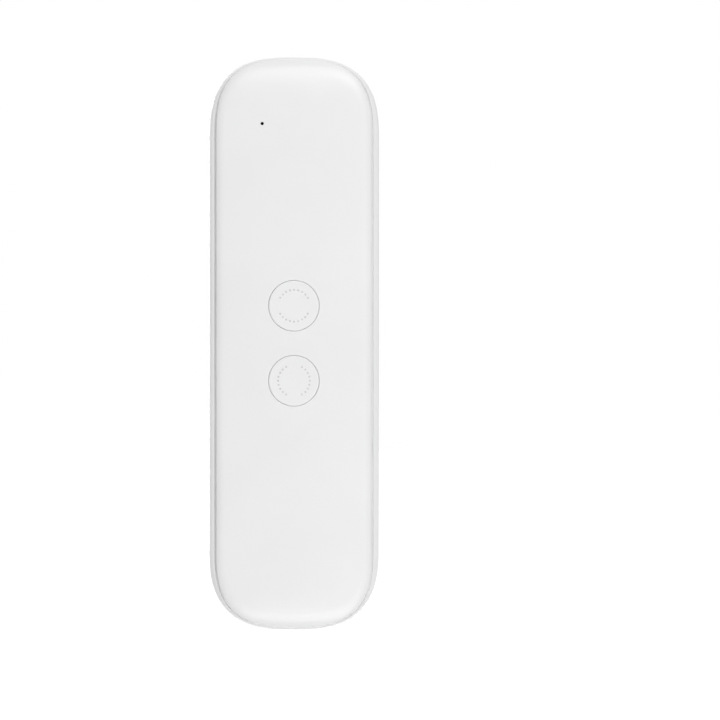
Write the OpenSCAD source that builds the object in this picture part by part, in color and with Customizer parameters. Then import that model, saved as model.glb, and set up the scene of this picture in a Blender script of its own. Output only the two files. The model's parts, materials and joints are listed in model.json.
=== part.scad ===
// Handheld voice translator: a slim two-shell case with two front buttons, a side power key,
// a speaker behind a grille in the back and a charge port in the lower end.
// The device stands upright: X is its width, Z its length, and its front faces -Y.

/* [Case] */
// Width of the case
body_w = 41.9; // [41:0.1:45]
// Length of the case
body_l = 141; // [136:0.5:156]
// Thickness of the case
body_t = 13.5; // [13.2:0.1:15.5]
// Wall of the back cover
wall = 1.5; // [1.2:0.1:1.7]
// Length of each rounded end
end_l = 20.7; // [19:0.1:24]
// Squareness of the rounded ends, 2 is an ellipse
end_power = 2.8; // [2.3:0.1:3.4]
// Depth of the widest line behind the front face
equator_d = 4.4; // [4:0.1:4.9]
// Width of the flat on the back
back_flat_w = 18; // [17:0.5:21]
// Length over which the back rises towards each end
back_end_l = 14; // [12:0.5:16]

/* [Front cover] */
// Width of the front cover
cover_w = 38.6; // [38:0.1:39.4]
// Thickness of the front cover, which is the depth of the seam at the sides
cover_t = 1.6; // [1.4:0.1:1.8]
// Width of the rounding along the sides of the front cover
cover_edge_w = 2; // [1.2:0.1:2.6]
// Width of the rounding at the tips of the front cover
cover_tip_edge = 3.2; // [2:0.1:4]
// Distance from the seam to the tip of the case
seam_tip = 0.45; // [0.35:0.05:0.8]
// Bevel of both edges of the seam
seam_bevel = 0.15; // [0.1:0.05:0.25]
// Gap between the two covers at the seam
parting_gap = 0.1; // [0.06:0.02:0.14]
// Length over which the front bends back towards each end
front_bend_l = 11; // [9:0.5:13]
// Length of a snap hook
hook_l = 6; // [4:0.5:8]
// Thickness of a snap hook
hook_t = 1; // [0.8:0.1:1.2]
// Reach of a snap hook's nose
hook_nose = 0.8; // [0.6:0.1:0.9]
// Distance between the snap hooks on one side
hook_pitch = 40; // [30:1:44]

/* [Buttons] */
// Diameter of a button
button_d = 12.3; // [10:0.1:13]
// Gap around a button
button_gap = 0.25; // [0.15:0.05:0.35]
// Distance between the centres of the two buttons
button_pitch = 18.45; // [17.8:0.05:22]
// Distance by which a button travels
button_travel = 0.3; // [0.2:0.05:0.4]
// Rounding of a button's rim
button_rim = 0.3; // [0.1:0.05:0.5]
// Depth of the hollow in a button
dish_d = 0.15; // [0.05:0.05:0.25]
// Thickness of a button's flange
flange_t = 0.6; // [0.4:0.1:0.8]
// Width by which a button's flange is wider than its hole
flange_lap = 0.5; // [0.4:0.1:0.6]
// Wall of the collar that guides a button
collar_wall = 0.8; // [0.6:0.1:0.9]
// Diameter of a tactile dimple
dot_d = 0.45; // [0.3:0.05:0.6]
// Depth of a tactile dimple
dot_depth = 0.12; // [0.08:0.02:0.2]
// Diameter of the circle of dimples
dot_ring_d = 7.8; // [7:0.1:8.4]
// Dimples in one arc
dot_count = 9; // [5:1:11]
// Angle between two dimples
dot_step = 15; // [13:1:15]

/* [Speaker and grille] */
// Distance from the top of the case to the middle of the grille
grille_top = 26.8; // [26:0.1:29]
// Diameter of a grille hole
grille_hole_d = 1; // [0.8:0.05:1.2]
// Distance between two holes in a column
grille_row_pitch = 2.38; // [2.1:0.02:2.5]
// Distance between two columns of holes
grille_column_pitch = 2.07; // [1.8:0.01:2.2]
// Holes in a long column
grille_rows = 8; // [6:1:8]
// Columns of holes
grille_columns = 5; // [3:2:5]
// Width of the speaker
speaker_w = 15; // [14:0.5:16]
// Length of the speaker
speaker_l = 24; // [22:0.5:25]
// Height of the speaker frame
speaker_h = 2.6; // [2.2:0.1:3]
// Wall of the speaker frame
speaker_wall = 1; // [0.8:0.1:1.2]
// Diameter of the speaker magnet
magnet_d = 9; // [8:0.5:10]
// Height of the magnet over the frame
magnet_h = 1.4; // [1:0.1:1.6]
// Thickness of the foam gasket
gasket_t = 0.5; // [0.4:0.1:0.7]
// Thickness of the dust mesh
mesh_t = 0.12; // [0.1:0.02:0.2]

/* [Power key] */
// Distance from the top of the case to the middle of the power key slot
key_top = 42.5; // [41:0.1:46]
// Depth of the slot's middle behind the front face
key_depth = 9.05; // [8.9:0.05:9.2]
// Length of the slot
slot_l = 8.65; // [8.2:0.05:9.4]
// Width of the slot
slot_w = 1.85; // [1.6:0.05:2]
// Length of the power key
key_l = 5.4; // [5:0.1:5.8]
// Gap above and below the power key in its slot
key_gap = 0.1; // [0.05:0.01:0.15]
// Depth of the power key's face under the surface of the case
key_recess = 0.35; // [0.2:0.05:0.5]
// Travel of the power key each way from the middle
key_travel = 1; // [0.8:0.1:1.2]
// Thickness of the power key's inner plate
key_plate_t = 0.8; // [0.6:0.1:0.9]
// Width of the power key's inner plate
key_plate_w = 2.6; // [2.4:0.1:2.8]
// Height of the grip ribs on the power key
key_rib_h = 0.15; // [0.1:0.05:0.2]
// Width of the lever of the slide switch
lever_w = 1.5; // [1.2:0.1:1.6]
// Length of the slide switch
power_switch_l = 8.5; // [7.5:0.1:9]

/* [Microphones] */
// Distance from the top of the case to the front pinhole
mic_top = 16.45; // [16:0.1:19]
// Distance from the front pinhole to the middle of the case
mic_x = 7.8; // [6:0.1:9]
// Diameter of a pinhole
pinhole_d = 0.7; // [0.6:0.05:1]
// Distance from the top of the case to the side pinhole
side_mic_top = 15.3; // [15:0.1:16]
// Diameter of a microphone capsule
capsule_d = 3; // [2.8:0.1:3.1]
// Height of a microphone capsule
capsule_h = 1.1; // [1:0.1:1.3]
// Wall of a rubber boot
boot_wall = 0.4; // [0.3:0.05:0.45]

/* [Charge port] */
// Width of the port shell
usb_w = 7.5; // [7.4:0.1:8]
// Height of the port shell
usb_h = 2.45; // [2.4:0.05:2.8]
// Length of the port shell
usb_l = 5; // [4.6:0.1:5.6]
// Sheet thickness of the port shell
usb_sheet = 0.25; // [0.2:0.01:0.3]
// Distance from the mouth of the port to the tip of the case
usb_inset = 1.3; // [1.1:0.05:1.5]
// Gap between the port shell and its cut-out
usb_gap = 0.2; // [0.15:0.05:0.3]
// Number of contacts
usb_pins = 5; // [5:1:5]

/* [Main board] */
// Width of the main board
board_w = 32; // [30:0.1:32.4]
// Thickness of the main board
board_t = 1; // [0.8:0.1:1.1]
// Distance from each tip of the case to the main board
board_end = 3.2; // [2.8:0.1:3.6]
// Side of a tactile switch
switch_w = 5.2; // [4.8:0.1:6]
// Height of a tactile switch body
switch_h = 1.5; // [1.4:0.1:1.6]
// Diameter of a switch plunger
plunger_d = 2.4; // [2:0.1:2.8]

/* [Chips] */
// Side of the main chip
main_chip_w = 8; // [6:0.5:8.5]
// Width of the memory chip
memory_chip_w = 6; // [5:0.5:6]
// Length of the memory chip
memory_chip_l = 5; // [4:0.5:8]
// Side of the charge chip
charge_chip_w = 4; // [3:0.5:5]
// Width of the crystal
crystal_w = 3.2; // [2.5:0.1:3.5]
// Length of the crystal
crystal_l = 2.5; // [2:0.1:3]
// Width of the antenna
antenna_w = 8.6; // [7:0.1:9]
// Length of the antenna
antenna_l = 2.2; // [1.6:0.1:2.4]
// Height of the chips
chip_h = 0.8; // [0.6:0.1:1]
// Width of a resistor or capacitor
part_w = 1; // [0.6:0.1:1.2]
// Length of a resistor or capacitor
part_l = 0.6; // [0.3:0.1:0.8]
// Gap between resistors and capacitors
part_gap = 0.9; // [0.6:0.1:1.2]

/* [Battery] */
// Width of the battery cell
battery_w = 24; // [20:0.5:24.5]
// Thickness of the battery cell
battery_t = 4.8; // [4.2:0.1:5]
// Distance from the lower end of the battery to the tip of the case
battery_bottom = 16.5; // [16:0.5:19]
// Thickness of the double-sided tape
tape_t = 0.6; // [0.4:0.1:0.7]
// Length of the protection circuit on the battery's upper end
circuit_l = 3; // [2:0.5:4]
// Diameter of a lead
lead_d = 0.9; // [0.6:0.05:1]

/* [Fasteners] */
// Diameter of a screw's shank
screw_d = 1.5; // [1.3:0.1:1.6]
// Diameter of a screw's head
screw_head_d = 3; // [2.6:0.1:3.2]
// Height of a screw's head
screw_head_h = 0.8; // [0.6:0.1:0.9]
// Length of a screw's shank
screw_l = 4; // [3.5:0.1:4.4]
// Diameter of a screw boss
boss_d = 4; // [3.6:0.1:4.2]

/* [Hidden] */

$fn = 48;
eps = 0.5;                  // what a cut runs past a face
end_steps = 36;             // steps round each rounded end
edge_steps = 6;             // steps over the rounding of the front cover
shoulder_steps = 4;         // steps from the seam to the widest line
back_steps = 8;             // steps from the widest line to the flat of the back
inner_steps = 6;            // steps of the inside of the back cover
rest_gap = 0.05;            // small clearance between parts that rest on each other
slide_gap = 0.1;            // clearance beside parts that slide

half_w = body_w / 2;
half_l = body_l / 2;
back_flat_l = body_l - 2 * back_end_l;
inner_back_d = body_t - wall;

// Stack behind a button, as depths behind the front face
stem_l = 0.4;
plunger_out = 0.5;
flange_top_d = cover_t + rest_gap;
flange_bottom_d = flange_top_d + flange_t;
stem_bottom_d = flange_bottom_d + stem_l;
plunger_top_d = stem_bottom_d + rest_gap / 2;
switch_top_d = plunger_top_d + plunger_out;
board_d = switch_top_d + switch_h;
board_back_d = board_d + board_t;
flange_r = button_d / 2 + button_gap + flange_lap;
collar_r = flange_r + slide_gap;
well_deep = 0.4;            // how far a plunger reaches into its switch at rest

// Places along the length, from the middle of the case
grille_y = half_l - grille_top;
key_y = half_l - key_top;
mic_y = half_l - mic_top;
side_mic_y = half_l - side_mic_top;
battery_y0 = battery_bottom - half_l;
usb_mouth_y = usb_inset - half_l;

// Speaker stack, as depths
gasket_back_d = inner_back_d - rest_gap;
gasket_front_d = gasket_back_d - gasket_t;
speaker_front_d = gasket_front_d - speaker_h;
magnet_front_d = speaker_front_d - magnet_h;

// Battery stack, as depths
tape_back_d = inner_back_d - rest_gap;
battery_back_d = tape_back_d - tape_t;
battery_front_d = battery_back_d - battery_t;

// Screws: a pair at each end and a pair between the battery and the speaker
pilot_d = screw_d + 2 * rest_gap;
board_hole_d = screw_d + 4 * slide_gap;
end_boss_x = 8.6;
end_boss_inset = 10.8;      // from each tip of the case
mid_boss_x = 11.6;
boss_clear = 1.5;           // from the middle bosses to the slide switch and to the battery
mid_boss_y = key_y - power_switch_l / 2 - boss_clear - boss_d / 2;
BOSSES = [for (s = [-1, 1])
          each [[s * end_boss_x, half_l - end_boss_inset], [s * end_boss_x, end_boss_inset - half_l],
                [s * mid_boss_x, mid_boss_y]]];

// The battery fills the length from the lower bosses to the middle ones
battery_y1 = mid_boss_y - boss_d / 2 - boss_clear - circuit_l;
battery_l = battery_y1 - battery_y0;

// ---- Shape of the case --------------------------------------------------------------------

// How far the front face has bent back at length y: a quarter ellipse over each end
function front_dip(y) =
    let (s = max(0, abs(y) - (half_l - front_bend_l)) / front_bend_l)
    equator_d * (1 - sqrt(max(0, 1 - s * s)));

// Depth at length y of a surface that lies d deep at the sides; the widest line stays level
function depth_at(d, y) = d >= equator_d ? d : front_dip(y) + d * (1 - front_dip(y) / equator_d);

// One closed ring of points: straight sides and two superellipse ends, at side depth d
function ring(hw, hl, d) =
    let (el = end_l * hw / half_w)
    [for (s = [1, -1])
     for (i = [0 : end_steps])
     let (t = 180 * i / end_steps,
          x = s * hw * sign(cos(t)) * pow(abs(cos(t)), 2 / end_power),
          y = s * (hl - el + el * pow(sin(t), 2 / end_power)))
     [x, y, -depth_at(d, y)]];

// Share of the shoulder's width that lies outside depth d, on a quarter ellipse
function shoulder_share(d) = 1 - sqrt(1 - pow((equator_d - d) / equator_d, 2));
function shoulder_in(d, seam_in) = seam_in * shoulder_share(d) / shoulder_share(cover_t);

// A ring on the outside of the back cover, or inset from it by w, in front of the widest line
function shoulder_ring(d, w) =
    ring(half_w - shoulder_in(d, (body_w - cover_w) / 2) - w,
         half_l - shoulder_in(d, seam_tip) - w, d);

// A ring behind the widest line, on a quarter ellipse down to the flat, at angle a
function back_ring(a, w) =
    ring(back_flat_w / 2 + (half_w - w - back_flat_w / 2) * cos(a),
         back_flat_l / 2 + (half_l - w - back_flat_l / 2) * cos(a),
         equator_d + (body_t - w - equator_d) * sin(a));

// Half width of the case at depth d behind the widest line, inset by w
function half_w_at(d, w) =
    back_flat_w / 2 + (half_w - w - back_flat_w / 2)
    * sqrt(1 - pow((d - equator_d) / (body_t - w - equator_d), 2));

// Quads between ring k and ring k + 1 of rings with n points each
function band(k, n) = [for (i = [0 : n - 1])
                       [k * n + i, k * n + (i + 1) % n, (k + 1) * n + (i + 1) % n, (k + 1) * n + i]];

// Strips across a ring that joins the points that mirror each other, first point at b
function ladder(b) =
    let (m = end_steps, h = m / 2)
    concat(
        [for (s = [0, m + 1]) for (i = [0 : h - 2])
         [b + s + i, b + s + i + 1, b + s + m - i - 1, b + s + m - i]],
        [for (s = [0, m + 1]) [b + s + h - 1, b + s + h, b + s + h + 1]],
        [[b + m, b + m + 1, b + 2 * m + 1, b]]);

function flipped(faces) = [for (f = faces) [for (i = [len(f) - 1 : -1 : 0]) f[i]]];

// A closed solid through rings listed from front to back along the outside, or on round the
// inside; its first and last rings are closed by strips
module ring_solid(rings) {
    n = len(rings[0]);
    last = len(rings) - 1;
    points = [for (r = rings) each r];
    faces = concat(flipped(ladder(0)), [for (k = [0 : last - 1]) each band(k, n)], ladder(last * n));
    polyhedron(points = points, faces = faces, convexity = 6);
}

// Places the device upright, front towards -Y, lower tip at Z = 0
module stand() {
    translate([0, 0, half_l])
        rotate([90, 0, 0])
            translate([0, 0, body_t / 2])
                children();
}

// Extrudes a flat shape from depth d0 to depth d1
module slab(d0, d1) {
    translate([0, 0, -d1])
        linear_extrude(d1 - d0)
            children();
}

// A round pillar from depth d0 to depth d1
module pillar(x, y, d, d0, d1) {
    translate([x, y, -d1])
        cylinder(d = d, h = d1 - d0);
}

// A centred rectangle with rounded corners
module round_rect(w, l, r) {
    square([w - 2 * r, l], center = true);
    square([w, l - 2 * r], center = true);
    for (sx = [-1, 1])
        for (sy = [-1, 1])
            translate([sx * (w / 2 - r), sy * (l / 2 - r)])
                circle(r = r);
}

// A centred slot with round ends, long way along Y
module stadium(w, l) {
    square([w, l - w], center = true);
    for (s = [-1, 1])
        translate([0, s * (l - w) / 2])
            circle(d = w);
}

// Carries a flat shape to the left side of the case: its Y stays along the length and its X
// becomes depth, extruded from x0 to x1 in distance from the middle of the case
module left_side(y, depth, x0, x1) {
    translate([-x0, y, -depth])
        rotate([0, -90, 0])
            linear_extrude(x1 - x0)
                children();
}

// ---- Front cover ---------------------------------------------------------------------------

// Ring of the front cover at angle a over its rounded edge
function cover_ring(a) =
    ring(cover_w / 2 - cover_edge_w * (1 - sin(a)),
         half_l - seam_tip - cover_tip_edge * (1 - sin(a)),
         (cover_t - seam_bevel) * (1 - cos(a)));

hook_x = cover_w / 2 - wall - 0.15;     // outer face of the hooks, clear of the rim
hook_root = 0.6;                        // how far a hook reaches up into the plate
catch_top_d = cover_t + 0.8;
catch_h = 0.9;
nose_top_d = catch_top_d + catch_h + slide_gap;
nose_h = 0.8;
HOOK_Y = [-hook_pitch, 0, hook_pitch];

module hooks() {
    for (s = [-1, 1])
        for (y = HOOK_Y) {
            slab(cover_t - hook_root, nose_top_d + nose_h)
                translate([s * (hook_x - hook_t / 2), y])
                    square([hook_t, hook_l], center = true);
            slab(nose_top_d, nose_top_d + nose_h)
                translate([s * (hook_x - hook_t / 2 + hook_nose / 2), y])
                    square([hook_t + hook_nose, hook_l], center = true);
        }
}

module button_collars() {
    for (s = [-1, 1])
        pillar(0, s * button_pitch / 2, 2 * (collar_r + collar_wall), cover_t - rest_gap, flange_bottom_d + stem_l);
}

module front_cover() {
    color("#ececec")
        stand()
            difference() {
                union() {
                    ring_solid(concat([for (k = [0 : edge_steps]) cover_ring(90 * k / edge_steps)],
                                      [ring(cover_w / 2 - seam_bevel, half_l - seam_tip - seam_bevel, cover_t)]));
                    hooks();
                    button_collars();
                }
                for (s = [-1, 1]) {
                    pillar(0, s * button_pitch / 2, button_d + 2 * button_gap, -eps, cover_t + eps);
                    pillar(0, s * button_pitch / 2, 2 * collar_r, cover_t, stem_bottom_d + eps);
                }
                pillar(-mic_x, mic_y, pinhole_d, -eps, cover_t + eps);
            }
}

// ---- Back cover ----------------------------------------------------------------------------

rim_d = cover_t + parting_gap;
port_depth = board_back_d + usb_h / 2;
boot_d = capsule_d + 2 * boot_wall;
side_mic_depth = board_back_d + boot_d / 2 + rest_gap;
sleeve_wall = 0.5;
sleeve_x0 = half_w_at(side_mic_depth + boot_d / 2, wall) - 3.4;

module back_shell() {
    outer = concat([ring(cover_w / 2 - seam_bevel, half_l - seam_tip - seam_bevel, rim_d)],
                   [for (k = [0 : shoulder_steps - 1])
                    shoulder_ring(rim_d + seam_bevel + (equator_d - rim_d - seam_bevel) * k / shoulder_steps, 0)],
                   [for (k = [0 : back_steps]) back_ring(90 * k / back_steps, 0)]);
    inner = concat([for (k = [0 : inner_steps]) back_ring(90 - 90 * k / inner_steps, wall)],
                   [for (k = [1 : 2])
                    shoulder_ring(equator_d - (equator_d - rim_d) * k / 2, wall)]);
    n = len(outer[0]);
    rings = concat(outer, inner);
    flat = len(outer) - 1;
    last = len(rings) - 1;
    points = [for (r = rings) each r];
    faces = concat([for (k = [0 : last]) if (k != flat) each k == last ? rim_band(k, n) : band(k, n)],
                   ladder(flat * n), flipped(ladder((flat + 1) * n)));
    polyhedron(points = points, faces = faces, convexity = 8);
}

// Quads that close the rim, from the last ring back to the first
function rim_band(k, n) = [for (i = [0 : n - 1]) [k * n + i, k * n + (i + 1) % n, (i + 1) % n, i]];

// Solid that ends halfway through the wall: the fittings run into the wall and no further
module fitting_limit() {
    ring_solid(concat([for (k = [1 : -1 : 0])
                       shoulder_ring(equator_d - (equator_d - rim_d) * k * 0.7, wall / 2)],
                      [for (k = [1 : inner_steps]) back_ring(90 * k / inner_steps, wall / 2)]));
}

module fittings() {
    for (b = BOSSES)
        pillar(b[0], b[1], boss_d, board_back_d, body_t);
    for (s = [-1, 1])
        for (y = HOOK_Y)
            slab(catch_top_d, catch_top_d + catch_h)
                translate([s * (hook_x + rest_gap + wall), y])
                    square([2 * wall, hook_l + 0.4], center = true);
    // cradle of the side microphone's boot, open towards the board
    difference() {
        left_side(side_mic_y, side_mic_depth, sleeve_x0, half_w)
            circle(d = boot_d + 2 * rest_gap + 2 * sleeve_wall);
        slab(0, board_back_d + rest_gap)
            translate([-half_w, side_mic_y])
                square([body_w, 2 * boot_d], center = true);
    }
}

module grille_holes() {
    for (c = [0 : grille_columns - 1]) {
        rows = grille_rows - (c + 1) % 2;
        for (r = [0 : rows - 1])
            pillar((c - (grille_columns - 1) / 2) * grille_column_pitch,
                   grille_y + (r - (rows - 1) / 2) * grille_row_pitch,
                   grille_hole_d, inner_back_d - eps, body_t + eps);
    }
}

// Half outline of the port: wide at the board, narrower away from it, grown by g
module port_outline(g) {
    w = usb_w / 2 + g;
    h = usb_h / 2 + g;
    polygon([[-w, -h], [w, -h], [w, h * 0.1], [w - 0.9, h], [0.9 - w, h], [-w, h * 0.1]]);
}

// Extrudes a port section from length y0 to y1
module port_run(y0, y1) {
    translate([0, y0, -port_depth])
        rotate([-90, 0, 0])
            linear_extrude(y1 - y0)
                children();
}

module back_cover() {
    sleeve_end = half_w_at(side_mic_depth, wall);
    color("#e8e8e8")
        stand()
            difference() {
                union() {
                    back_shell();
                    intersection() {
                        fittings();
                        fitting_limit();
                    }
                }
                grille_holes();
                for (b = BOSSES)
                    pillar(b[0], b[1], pilot_d, board_back_d - eps, board_d + screw_l + eps);
                left_side(key_y, key_depth, half_w_at(key_depth + slot_w, wall) - 2, half_w + eps)
                    stadium(slot_w, slot_l);
                left_side(side_mic_y, side_mic_depth, sleeve_end - 1, half_w + eps)
                    circle(d = pinhole_d);
                left_side(side_mic_y, side_mic_depth, sleeve_x0 - eps, boot_x1())
                    circle(d = boot_d + 2 * rest_gap);
                port_run(-half_l - eps, -half_l + 4)
                    port_outline(usb_gap);
            }
}

// Outer end of the side boot, against the wall at the boot's deepest edge
function boot_x1() = half_w_at(side_mic_depth + boot_d / 2, wall) - 0.6;

// ---- Buttons -------------------------------------------------------------------------------

// Dimples in two facing arcs, the first centred at angle a
module dots(a) {
    for (s = [0, 180])
        for (i = [0 : dot_count - 1])
            rotate(a + s + (i - (dot_count - 1) / 2) * dot_step)
                pillar(dot_ring_d / 2, 0, dot_d, -eps, dot_depth);
}

// Cap with a hollow face, a rounded rim, a flange and a stem
module button_cap(y, a) {
    r = button_d / 2;
    dish_r = r - button_rim - 0.3;
    dish_steps = 6;
    color("#eeeeee")
        stand()
            translate([0, y, 0])
                difference() {
                    rotate_extrude()
                        polygon(concat(
                            [for (i = [0 : dish_steps])
                             [dish_r * i / dish_steps, -dish_d * (1 - pow(i / dish_steps, 2))]],
                            [for (i = [0 : 3])
                             [r - button_rim * (1 - sin(30 * i)), -button_rim * (1 - cos(30 * i))]],
                            [[r, -flange_top_d], [flange_r, -flange_top_d], [flange_r, -flange_bottom_d],
                             [plunger_d / 2, -flange_bottom_d], [plunger_d / 2, -stem_bottom_d],
                             [0, -stem_bottom_d]]));
                    dots(a);
                }
}

module upper_button() {
    button_cap(button_pitch / 2, 90);
}

module lower_button() {
    button_cap(-button_pitch / 2, 0);
}

// Tactile switch body with the well its plunger moves in
module switch_body(y) {
    well_d = plunger_d + 2 * rest_gap;
    color("#2b2b2d")
        stand()
            translate([0, y, 0])
                difference() {
                    slab(switch_top_d, board_d)
                        square(switch_w, center = true);
                    pillar(0, 0, well_d, switch_top_d - eps, switch_top_d + well_deep + button_travel + slide_gap);
                }
}

module plunger(y) {
    color("#c9a227")
        stand()
            pillar(0, y, plunger_d, plunger_top_d, switch_top_d + well_deep);
}

module upper_switch() {
    switch_body(button_pitch / 2);
}

module lower_switch() {
    switch_body(-button_pitch / 2);
}

module upper_plunger() {
    plunger(button_pitch / 2);
}

module lower_plunger() {
    plunger(-button_pitch / 2);
}

// ---- Power key -----------------------------------------------------------------------------

key_w = slot_w - 2 * key_gap;
key_plate_lap = 0.4;        // how far the plate covers the slot's ends at each stop
key_plate_l = slot_l + 2 * (key_travel + key_plate_lap);
key_plate_x = half_w_at(key_depth + key_plate_w / 2, wall) - 3 * slide_gap;
key_rib_w = 0.5;
key_rib_side = 0.1;         // from a rib's ends to the sides of the key
lever_in = 0.4;             // how far the lever reaches past the key's plate
lever_root = 1.4;           // how far the lever sits in the slide switch
power_switch_w = 3.6;
power_switch_wall = 0.5;
power_switch_x = key_plate_x - key_plate_t - 3 * slide_gap;

module power_key() {
    d0 = key_depth - key_w / 2;
    d1 = key_depth + key_w / 2;
    face0 = half_w_at(d0, 0) - key_recess;
    face1 = half_w_at(d1, 0) - key_recess;
    ribs = 4;
    rib_pitch = key_l / (ribs + 0.5);
    rib_d0 = d0 + key_rib_side;
    rib_d1 = d1 - key_rib_side;
    color("#e4e4e4")
        stand()
            difference() {
                union() {
                    translate([0, key_y + key_l / 2, 0])
                        rotate([90, 0, 0])
                            linear_extrude(key_l)
                                polygon([[-key_plate_x + eps, -d0], [-face0, -d0], [-face1, -d1],
                                         [-key_plate_x + eps, -d1]]);
                    for (i = [0 : ribs - 1])
                        translate([0, key_y + (i - (ribs - 1) / 2) * rib_pitch + key_rib_w / 2, 0])
                            rotate([90, 0, 0])
                                linear_extrude(key_rib_w)
                                    polygon([[-face0 + eps, -rib_d0], [-face0 - key_rib_h, -rib_d0],
                                             [-face1 - key_rib_h, -rib_d1], [-face1 + eps, -rib_d1]]);
                    left_side(key_y, key_depth, key_plate_x - key_plate_t, key_plate_x)
                        square([key_plate_w, key_plate_l], center = true);
                }
                left_side(key_y, key_depth, key_plate_x - key_plate_t - eps, key_plate_x + lever_in)
                    square(lever_w + 2 * rest_gap, center = true);
            }
}

module power_lever() {
    color("#1d1d1f")
        stand()
            left_side(key_y, key_depth, power_switch_x - lever_root, key_plate_x + lever_in - rest_gap)
                square(lever_w, center = true);
}

module power_switch() {
    color("#8f9296")
        stand()
            difference() {
                slab(board_back_d, key_depth + lever_w / 2 + power_switch_wall)
                    translate([-power_switch_x + power_switch_w / 2, key_y])
                        square([power_switch_w, power_switch_l], center = true);
                left_side(key_y, key_depth, power_switch_x - lever_root - slide_gap, power_switch_x + eps)
                    square([lever_w + 2 * slide_gap, lever_w + 2 * key_travel + 2 * slide_gap], center = true);
            }
}

// ---- Main board ----------------------------------------------------------------------------

module main_board() {
    color("#1f5c36")
        stand()
            difference() {
                slab(board_d, board_back_d)
                    polygon([for (p = ring(board_w / 2, half_l - board_end, equator_d)) [p[0], p[1]]]);
                for (b = BOSSES)
                    pillar(b[0], b[1], board_hole_d, board_d - eps, board_back_d + eps);
            }
}

// A flat chip on the front of the board
module chip(x, y, w, l, h = chip_h) {
    slab(board_d - h, board_d)
        translate([x, y])
            square([w, l], center = true);
}

chip_gap = 2;               // between neighbours on the board
chip_row_y = button_pitch / 2 + collar_r + chip_gap + max(main_chip_w, memory_chip_l) / 2;
part_row_y = chip_row_y + max(main_chip_w, memory_chip_l) / 2 + chip_gap + crystal_l + chip_gap;
charge_row_y = end_boss_inset + boss_d + chip_gap + charge_chip_w - half_l;

module main_chip() {
    color("#18181a")
        stand()
            chip(chip_gap / 4 + main_chip_w / 2, chip_row_y, main_chip_w, main_chip_w);
}

module memory_chip() {
    color("#202024")
        stand()
            chip(-chip_gap - memory_chip_w / 2, chip_row_y, memory_chip_w, memory_chip_l);
}

module charge_chip() {
    color("#1c1c20")
        stand()
            chip(chip_gap, charge_row_y, charge_chip_w, charge_chip_w);
}

module crystal() {
    color("#c8ccd0")
        stand()
            chip(chip_gap + crystal_w / 2, part_row_y - chip_gap - crystal_l / 2, crystal_w, crystal_l);
}

module antenna() {
    color("#f0efe6")
        stand()
            chip(0, half_l - board_end - chip_gap - antenna_l / 2, antenna_w, antenna_l);
}

// Resistors and capacitors, in two short rows towards each end of the board
module board_parts() {
    color("#b79f74")
        stand()
            for (y = [part_row_y, charge_row_y + charge_chip_w])
                for (row = [0 : 1])
                    for (i = [0 : 5])
                        chip((i - 4.5) * (part_w + part_gap), y + row * (part_l + 2 * part_gap),
                             part_w, part_l, part_l);
}

module board_screws() {
    color("#9a9da1")
        stand()
            for (b = BOSSES)
                difference() {
                    union() {
                        pillar(b[0], b[1], screw_head_d, board_d - screw_head_h, board_d);
                        pillar(b[0], b[1], screw_d, board_d - screw_head_h, board_d + screw_l);
                    }
                    for (a = [0, 90])
                        slab(board_d - screw_head_h - eps, board_d - screw_head_h / 2)
                            translate([b[0], b[1]])
                                rotate(a)
                                    square([screw_head_d * 0.6, 0.35], center = true);
                }
}

// ---- Battery -------------------------------------------------------------------------------

module battery_cell() {
    color("#b9bcc0")
        stand()
            slab(battery_front_d, battery_back_d)
                translate([0, battery_y0 + battery_l / 2])
                    round_rect(battery_w, battery_l, 1);
}

circuit_t = 0.8;
circuit_inset = 2;          // from the circuit's ends to the sides of the cell
circuit_d0 = battery_front_d + (battery_t - circuit_t) / 2;
circuit_d1 = circuit_d0 + circuit_t;

module battery_circuit() {
    color("#2a6b3f")
        stand()
            slab(circuit_d0, circuit_d1)
                translate([0, battery_y1 + circuit_l / 2 + rest_gap])
                    square([battery_w - 2 * circuit_inset, circuit_l], center = true);
}

tape_side = 1;              // from the tape to the edges of the back's flat
tape_end = 4;               // from the tape to the ends of the cell

module battery_tape() {
    color("#f2efe2")
        stand()
            slab(battery_back_d, tape_back_d)
                translate([0, battery_y0 + battery_l / 2])
                    square([back_flat_w - 2 * tape_side, battery_l - 2 * tape_end], center = true);
}

// A lead that runs in the plane of one x from point a to point b of [y, depth], bowed like an S
function lead_ring(x, a, b, u) =
    let (e = u * u * (3 - 2 * u),
         y = a[0] + (b[0] - a[0]) * u,
         d = a[1] + (b[1] - a[1]) * e,
         slope = atan2((b[1] - a[1]) * 6 * u * (1 - u), b[0] - a[0]))
    [for (k = [0 : 7])
     let (c = lead_d / 2 * cos(45 * k), s = lead_d / 2 * sin(45 * k))
     [x + c, y + s * sin(slope), -d + s * cos(slope)]];

module lead(x, a, b) {
    steps = 10;
    n = 8;
    points = [for (i = [0 : steps]) each lead_ring(x, a, b, i / steps)];
    faces = concat([[for (k = [n - 1 : -1 : 0]) k]],
                   [for (i = [0 : steps - 1]) each band(i, n)],
                   [[for (k = [0 : n - 1]) steps * n + k]]);
    polyhedron(points = points, faces = a[0] < b[0] ? flipped(faces) : faces);
}

lead_board_d = board_back_d + lead_d / 2 + rest_gap;
lead_y0 = battery_y1 + circuit_l + 2 * rest_gap;
lead_run = 6;               // how far along the board a lead reaches

module battery_lead(x) {
    lead(x, [lead_y0, (circuit_d0 + circuit_d1) / 2], [lead_y0 + lead_run, lead_board_d]);
}

module battery_lead_red() {
    color("#b3211f")
        stand()
            battery_lead(-2);
}

module battery_lead_black() {
    color("#1a1a1a")
        stand()
            battery_lead(2);
}

// ---- Speaker -------------------------------------------------------------------------------

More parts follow.
